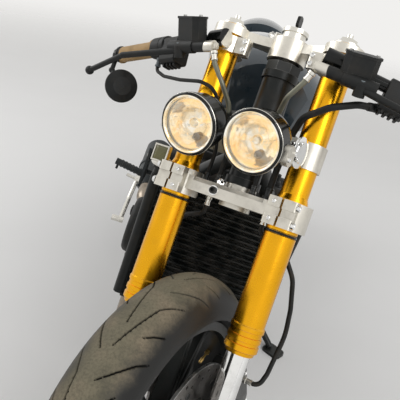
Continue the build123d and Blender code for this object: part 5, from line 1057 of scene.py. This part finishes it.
# %% Chain pins
CHAIN_PITCH, REAR_TEETH, DRIVE_TEETH = 15.875, 38, 15
DRIVE_CENTRE = np.array((130.0, 340.0))
rear_pitch = CHAIN_PITCH / 2 / np.sin(np.pi / REAR_TEETH)
drive_pitch = CHAIN_PITCH / 2 / np.sin(np.pi / DRIVE_TEETH)
span = np.array(rear) - DRIVE_CENTRE
reach = np.linalg.norm(span)
slope = np.arctan2(span[1], span[0])
spread = np.pi / 2 + np.arcsin((rear_pitch - drive_pitch) / reach)
straight = np.sqrt(reach**2 - (rear_pitch - drive_pitch) ** 2)
far_arc, near_arc = 2 * spread * rear_pitch, 2 * (np.pi - spread) * drive_pitch
loop = 2 * straight + far_arc + near_arc
links = 2 * round(loop / CHAIN_PITCH / 2)


def on_circle(centre, radius, angle):
    """Points of a circle in side view."""
    return np.stack([centre[0] + radius * np.cos(angle), centre[1] + radius * np.sin(angle)], axis=-1)


def on_loop(distance):
    """Points at distances along the loop: rear arc, top run, front arc, lower run."""
    marks = np.cumsum([far_arc, straight, near_arc])
    rear_arc = on_circle(rear, rear_pitch, slope - spread + distance / rear_pitch)
    front_arc = on_circle(DRIVE_CENTRE, drive_pitch, slope + spread + (distance - marks[1]) / drive_pitch)
    runs = []
    for side, start, flip in ((1, marks[0], False), (-1, marks[2], True)):
        ends = [on_circle(rear, rear_pitch, slope + side * spread)]
        ends.append(on_circle(DRIVE_CENTRE, drive_pitch, slope + side * spread))
        first, last = ends[::-1] if flip else ends
        runs.append(first + (last - first) * ((distance - start) / straight)[:, None])
    index = np.searchsorted(marks, distance, side="right")[:, None]
    return np.select([index == 0, index == 1, index == 2], [rear_arc, runs[0], front_arc], runs[1])


spots = on_loop(loop * (np.arange(links) + 0.5) / links)
RIVET = turned([(0, 1.1), (1.6, 1.0), (2.3, 0.5), (2.5, 0), (0, 0)], 12)
rows = [((107 + side * 9.0, *spot), (side, 0, 0), 1.0) for spot in spots for side in (1, -1)]
set_out("chain_pins", RIVET, rows, "ground_steel", "steel", "root", False)

# %% Mirror glass and lamp rings
glass, tree = new_material("mirror_glass")
film = noise(tree, own_place(tree), 60.0, 4.0)
shine = ramp(tree, film, 0.3, 0.8, 0.015, 0.05)
finished(tree, {"Base Color": (0.80, 0.84, 0.86, 1), "Metallic": 1.0, "Roughness": shine})
MIRROR_CENTRE, MIRROR_FACE = np.array((362.0, 60.0, 604.0)), unit((0.75, 0.65, 0))
GLASS = turned([(0, 0.9), (16, 0.8), (30, 0.3), (32.6, 0), (0, -0.1)], 48)
places = FORK.at((MIRROR_CENTRE + MIRROR_FACE * 2.2) * BOTH_SIDES)
mirrors = copies(GLASS, places, FORK.along(MIRROR_FACE * BOTH_SIDES), 0.001)
make_piece("mirror_glass", *mirrors, "steering", glass, "chrome")
TRIM = [(43.6, -4.6), (44.4, -1.2), (45.4, 0.4), (47.6, 0.5), (47.7, 0.0), (44.4, -4.9), (43.6, -4.6)]
# The ring round each lens takes the reflector's material, with its painted reflection colours and faint
# painted glow
make_piece("lens_edges", *in_lamps(turned(TRIM, 64)), "steering", reflector, "reflector_chrome", 60.0)
# A thin bright alloy ring round each lamp's black rim: a painted highlight on the rim's bevel
RIM_HIGHLIGHT_EDGE = [(52.05, -2.2), (52.5, -2.6), (52.6, -3.6), (52.05, -4.2), (51.9, -3.2), (52.05, -2.2)]
rim_highlights = in_lamps(turned(RIM_HIGHLIGHT_EDGE, 64))
make_piece("lamp_rim_highlight", *rim_highlights, "steering", HARD["machined_alloy"], "chrome", 60.0)

# %% [markdown]
# A small square lamp with an olive lens stands beside the right clamp of the lower yoke, on a short
# stalk. It is a turned shape with four sides, its height laid along the way that the fork faces.

# %% Square marker


def facing(shape, place):
    """A shape in millimetres whose height points to the front of the fork: (x, y, h) goes to (x, -h, y)."""
    points, faces = shape
    laid = np.stack([points[:, 0], -points[:, 2], points[:, 1]], axis=1)
    return FORK.at(laid + np.array(place)), faces


MARKER = (-148, -25, 483)
BEZEL = turned(
    [(0, 0), (-13, 0), (-15.5, 3), (-16.5, 8), (-16.5, 15)]
    + [(-15.6, 16), (-13.4, 16), (-13.2, 14.5), (0, 14.5)],
    steps=32,
    sides=4,
)
PANE = turned([(0, 15.9), (-7, 15.8), (-12.4, 15.3), (-13.1, 14.6), (0, 14.4)], steps=32, sides=4)
OLIVE = ("olive_lens", (0.16, 0.15, 0.055), (0.3, 0.28, 0.15), 0.22, 0.0, 0.1, 0.2, 0.001, 0.1)
make_piece("marker_bezel", *facing(BEZEL, MARKER), "steering", HARD["satin_alloy"], "alloy")
make_piece("marker_lens", *facing(PANE, MARKER), "steering", hard_finish(OLIVE), "control_black")
STALK = turned([(0, 0), (4.5, 0), (4.5, 19), (0, 19)], 20)
stalk_row = [((-147, -20, 480), (19, 4, -12), 1.0)]
set_out("marker_stalk", STALK, stalk_row, "satin_alloy", "alloy", mirrored=False)

# %% [markdown]
# ## The seat
#
# A seat of this kind is a foam pad under a leather cover, sewn into cross channels, with a seam along
# each side of its top. Foam under tight leather swells between the seams, and cloth with pressure
# inside shows that best. So a slightly smaller copy of the solid is remeshed in even cells, its base is
# pinned where it rests on the rails, and it is blown up for twenty frames. The channels are pressed in
# after that, because the remesh would lose them, and the stitches lie in the seams.

# %% Leather and thread
leather, tree = new_material("seat_leather")
where = own_place(tree)
cloud = noise(tree, where, 11.0, 5.0, Roughness=0.6)
pore_grid = {"Vector": where, "Scale": 520.0}
pores = add(tree, "ShaderNodeTexVoronoi", pore_grid, feature="DISTANCE_TO_EDGE").outputs[0]
creases = noise(tree, where, 90.0, 4.0, Distortion=1.5)
worn_share = ramp(tree, cloud, 0.38, 0.72)
height = calc(tree, "ADD", ramp(tree, pores, 0.0, 0.12), calc(tree, "MULTIPLY", creases, 1.4))
inputs = {
    "Base Color": blend(tree, worn_share, (0.085, 0.036, 0.016, 1), (0.20, 0.095, 0.042, 1)),
    "Roughness": ramp(tree, worn_share, 0.0, 1.0, 0.42, 0.58),
    "Specular IOR Level": 0.4,
    "Normal": bump(tree, height, 0.5, 0.0006),
}
finished(tree, inputs)
THREAD_ROW = ("seam_thread", (0.50, 0.40, 0.26), (0.6, 0.5, 0.35), 0.7, 0.0, 0.1, 0.3, 0.0008, 0.3)
thread = hard_finish(THREAD_ROW)
print("leather:", len(tree.nodes), "nodes")

# %% Blow up the pad
SEAT_CELL, SEAT_SHRINK, SEAT_CAP, SEAT_FRAMES = 0.005, 0.985, 0.007, 20
SEAT_PRESSURE, PINNED_UP_TO = 4.0, 6
SEAT_FROM, SEAT_TO, SEAT_FLOOR = 140.3, 439.8, 812.4


def to_body(points):
    """Points of the world in millimetres of the body's frame: (point - origin) times the axes."""
    return (np.asarray(points) - BODY.origin) @ BODY.axes.T * 1000


def read_points(mesh):
    """A mesh's points as an array."""
    points = np.empty(len(mesh.vertices) * 3)
    mesh.vertices.foreach_get("co", points)
    return points.reshape(-1, 3)


def evaluated(piece):
    """A new mesh of a piece as its modifiers leave it."""
    return bpy.data.meshes.new_from_object(piece.evaluated_get(bpy.context.evaluated_depsgraph_get()))


pad_mesh = NODES["seat"].data.copy()
pad_mesh.name = "seat_pad"
clean_mesh(pad_mesh, outward=False)
points = read_points(pad_mesh)
middle = (points.min(axis=0) + points.max(axis=0)) / 2
pad_mesh.vertices.foreach_set("co", (middle + (points - middle) * SEAT_SHRINK).ravel())
pad = bpy.data.objects.new("seat_pad", pad_mesh)
scene.collection.objects.link(pad)
remesh = pad.modifiers.new("remesh", "REMESH")
remesh.mode = "VOXEL"
remesh.voxel_size = SEAT_CELL
pad.data = evaluated(pad)
pad.modifiers.clear()
start = read_points(pad.data)
resting = to_body(start)[:, 2] < SEAT_FLOOR + PINNED_UP_TO
pins = pad.vertex_groups.new(name="pins")
pins.add(np.flatnonzero(resting).tolist(), 1.0, "REPLACE")
cloth = pad.modifiers.new("cloth", "CLOTH")
cloth.settings.use_pressure = True
cloth.settings.uniform_pressure_force = SEAT_PRESSURE
cloth.settings.effector_weights.gravity = 0
cloth.settings.vertex_group_mass = "pins"
for step in range(1, SEAT_FRAMES + 1):
    scene.frame_set(step)
blown = read_points(evaluated(pad))
scene.frame_set(1)
pad.modifiers.clear()
moved = blown - start
length = np.linalg.norm(moved, axis=1, keepdims=True)
moved *= np.minimum(1, SEAT_CAP / np.maximum(length, 1e-9))
start = start + moved
print("seat swelled by up to", round(float(length.max()) * 1000, 1), "mm, capped")

# %% Press in the channels and sew them
CHANNELS = np.arange(172.0, 430.0, 24.0)
CHANNEL_DEPTH, CHANNEL_HALF, SEAM_IN, SEAM_SHARE = 3.2, 4.0, 0.80, 0.7
STITCH_STEP, STITCH_ASIDE, STITCH_START, STITCH_END = 6.0, 3.5, 12, 8
TOP_FROM, TOP_EASE, INSIDE_EASE, ABOVE_SEAT = 14, 8, 6, 900


def seat_half(y):
    """Half the seat's width at a distance back, in millimetres."""
    return np.interp(y, [140.0, 290.0, 440.0], [78.0, 112.0, 120.0])


local = to_body(start)
top = np.clip((local[:, 2] - SEAT_FLOOR - TOP_FROM) / TOP_EASE, 0, 1)
inside = np.clip((SEAM_IN * seat_half(local[:, 1]) - np.abs(local[:, 0])) / INSIDE_EASE, 0, 1)
away = np.abs(local[:, 1:2] - CHANNELS).min(axis=1)
dent = np.exp(-((away / CHANNEL_HALF) ** 2)) * inside
seam_away = np.abs(np.abs(local[:, 0]) - SEAM_IN * seat_half(local[:, 1]))
dent = np.maximum(dent, SEAM_SHARE * np.exp(-((seam_away / CHANNEL_HALF) ** 2)))
local[:, 2] -= CHANNEL_DEPTH * dent * top
local[:, 1] = np.clip(local[:, 1], SEAT_FROM, SEAT_TO)
local[:, 2] = np.maximum(local[:, 2], SEAT_FLOOR)
pad.data.vertices.foreach_set("co", BODY.at(local).ravel())
smoother = pad.modifiers.new("subdivision", "SUBSURF")
smoother.levels = smoother.render_levels = 1
pad.data.materials.clear()
pad.data.materials.append(leather)
pad.data.shade_smooth()
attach(pad, "root")
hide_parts("seat")

surface = BVHTree.FromPolygons(BODY.at(local).tolist(), [list(face.vertices) for face in pad.data.polygons])
down = Vector((-BODY.axes[2]).tolist())
stitches = []
for y in np.arange(SEAT_FROM + STITCH_START, SEAT_TO - STITCH_END, STITCH_STEP):
    for side in (1, -1):
        for offset in (STITCH_ASIDE, -STITCH_ASIDE):
            above = BODY.at((side * SEAM_IN * seat_half(y) + offset, y, ABOVE_SEAT))
            hit = surface.ray_cast(Vector(above.tolist()), down)[0]
            if hit is not None:
                stitches.append(np.array(hit))
THREAD = turned([(0, 2.2), (0.4, 1.9), (0.55, 1.0), (0.5, -1.0), (0.4, -1.9), (0, -2.2)], 6)
stitches = np.array(stitches) + BODY.axes[2] * 0.0003
sewn = copies(THREAD, stitches, [BODY.along((0, 1, 0))] * len(stitches), 0.001)
make_piece("seat_stitches", *sewn, "root", thread, "seat_leather")

# %% [markdown]
# ## Tail lamp
#
# The tail lamp's lens is red and moulded with fine rings, inside a black rim. Both are one solid, so
# the distance from the lamp's middle tells the lens from the rim.

# %% Red lens
TAIL_UP, RING_STEP = 0.8523, 0.003
tail_glass, tree = new_material("tail_red")
reach = hypot(tree, along(tree, BODY, 0), calc(tree, "SUBTRACT", along(tree, BODY, 2), TAIL_UP))
rings = calc(tree, "SINE", calc(tree, "MULTIPLY", reach, 2 * np.pi / RING_STEP))
lens_share = ramp(tree, reach, 0.0292, 0.0288)
inputs = {
    "Base Color": blend(tree, lens_share, (0.01, 0.01, 0.01, 1), (0.34, 0.006, 0.006, 1)),
    "Roughness": ramp(tree, lens_share, 0.0, 1.0, 0.35, 0.12),
    "Coat Weight": lens_share,
    "Normal": bump(tree, calc(tree, "MULTIPLY", rings, lens_share), 0.6, 0.0008),
}
finished(tree, inputs)
paint("tail_lamp", tail_glass)
print("tail lamp:", len(tree.nodes), "nodes")

# %% [markdown]
# ## Switch blocks
#
# On the real machine the switch block hangs under the bar, with ribs underneath, and a round housing
# closes it against the grip. A block is a rounded rectangle carried along the bar: its corners are arcs,
# so point j is the corner's centre plus the radius times (cos, sin). Both ends are drawn in a little.

# %% Rounded blocks along the bars


def rounded(width, height, radius, count=32):
    """Points of a rounded rectangle: (sign * (half - radius)) + radius * (cos, sin), corner by corner."""
    angle = (np.arange(count) + 0.5) * 2 * np.pi / count
    turn = np.stack([np.cos(angle), np.sin(angle)], axis=1)
    return np.sign(turn) * (np.array([width, height]) / 2 - radius) + radius * turn


def carried(section, low, high, centre, edge=1.5):
    """A section carried from one height to another, with ends drawn in by an edge and closed."""
    reach = np.abs(section).max(axis=0)
    rows = [(0.0, low), (edge, low), (0.0, low + edge), (0.0, high - edge), (edge, high), (0.0, high)]
    scales = [0.0, 1, 1, 1, 1, 0.0]
    points = []
    for (inset, height), scale in zip(rows, scales):
        flat = section * (1 - inset / reach) * scale + np.array(centre)
        points.append(np.column_stack([flat, np.full(len(section), height)]))
    return np.concatenate(points), grid_faces(len(rows), len(section))


BAR_START = np.array((LEG_X, -39.0, 716.0))
BAR_FRONT = unit(np.cross((0, 0, -1), BAR_RUN))
BAR_DOWN = np.cross(BAR_RUN, BAR_FRONT)
# Places beside the bar, in millimetres: in front of it, below it, and along it
BLOCK_BELOW, BLOCK_FROM, BLOCK_TO = 14, 96, 142
RIB_BELOW, RIB_WIDE, RIB_STARTS = 42, 5, (100, 110, 120, 130)
HOUSING = turned(
    [(0, 138), (20.5, 138), (22, 139.5), (22, 150), (21.2, 150.6)]
    + [(21.2, 152), (22, 152.6), (22, 176), (20.5, 177.7), (0, 177.7)],
    48,
)
shapes = [carried(rounded(38, 54, 8), BLOCK_FROM, BLOCK_TO, (0, BLOCK_BELOW)), HOUSING]
for start in RIB_STARTS:
    shapes.append(carried(rounded(20, 10, 3, 16), start, start + RIB_WIDE, (0, RIB_BELOW), 0.8))
points, faces = joined(*shapes)
placed = BAR_START + points @ np.array([BAR_FRONT, BAR_DOWN, BAR_RUN])
blocks = joined(*((FORK.at(placed * side), faces) for side in BOTH_SIDES))
switches = make_piece("switch_blocks", *blocks, "steering", HARD["moulded_black"], "control_black")
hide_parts("switchgear")
BOOT = turned(
    [(0, -16), (6.6, -16), (7.4, -14), (7.4, -6), (6.8, -5), (7.4, -4), (8.4, 6), (8.4, 14), (0, 14)], 24
)
set_out("loom_boot", BOOT, [((192, -4, 664), (22, 26, 8), 1.0)], "hose_rubber", "hose_rubber", mirrored=False)
buttons = []
for reach_out, drop, size in ((108, 6, 6.5), (124, 18, 5.0), (106, 26, 5.5)):
    spot = BAR_START + BAR_RUN * reach_out - BAR_FRONT * 18.8 + BAR_DOWN * drop
    buttons.append((spot, -BAR_FRONT, size))
set_out("switch_buttons", BUTTON, buttons, "slate_plastic", "control_black")
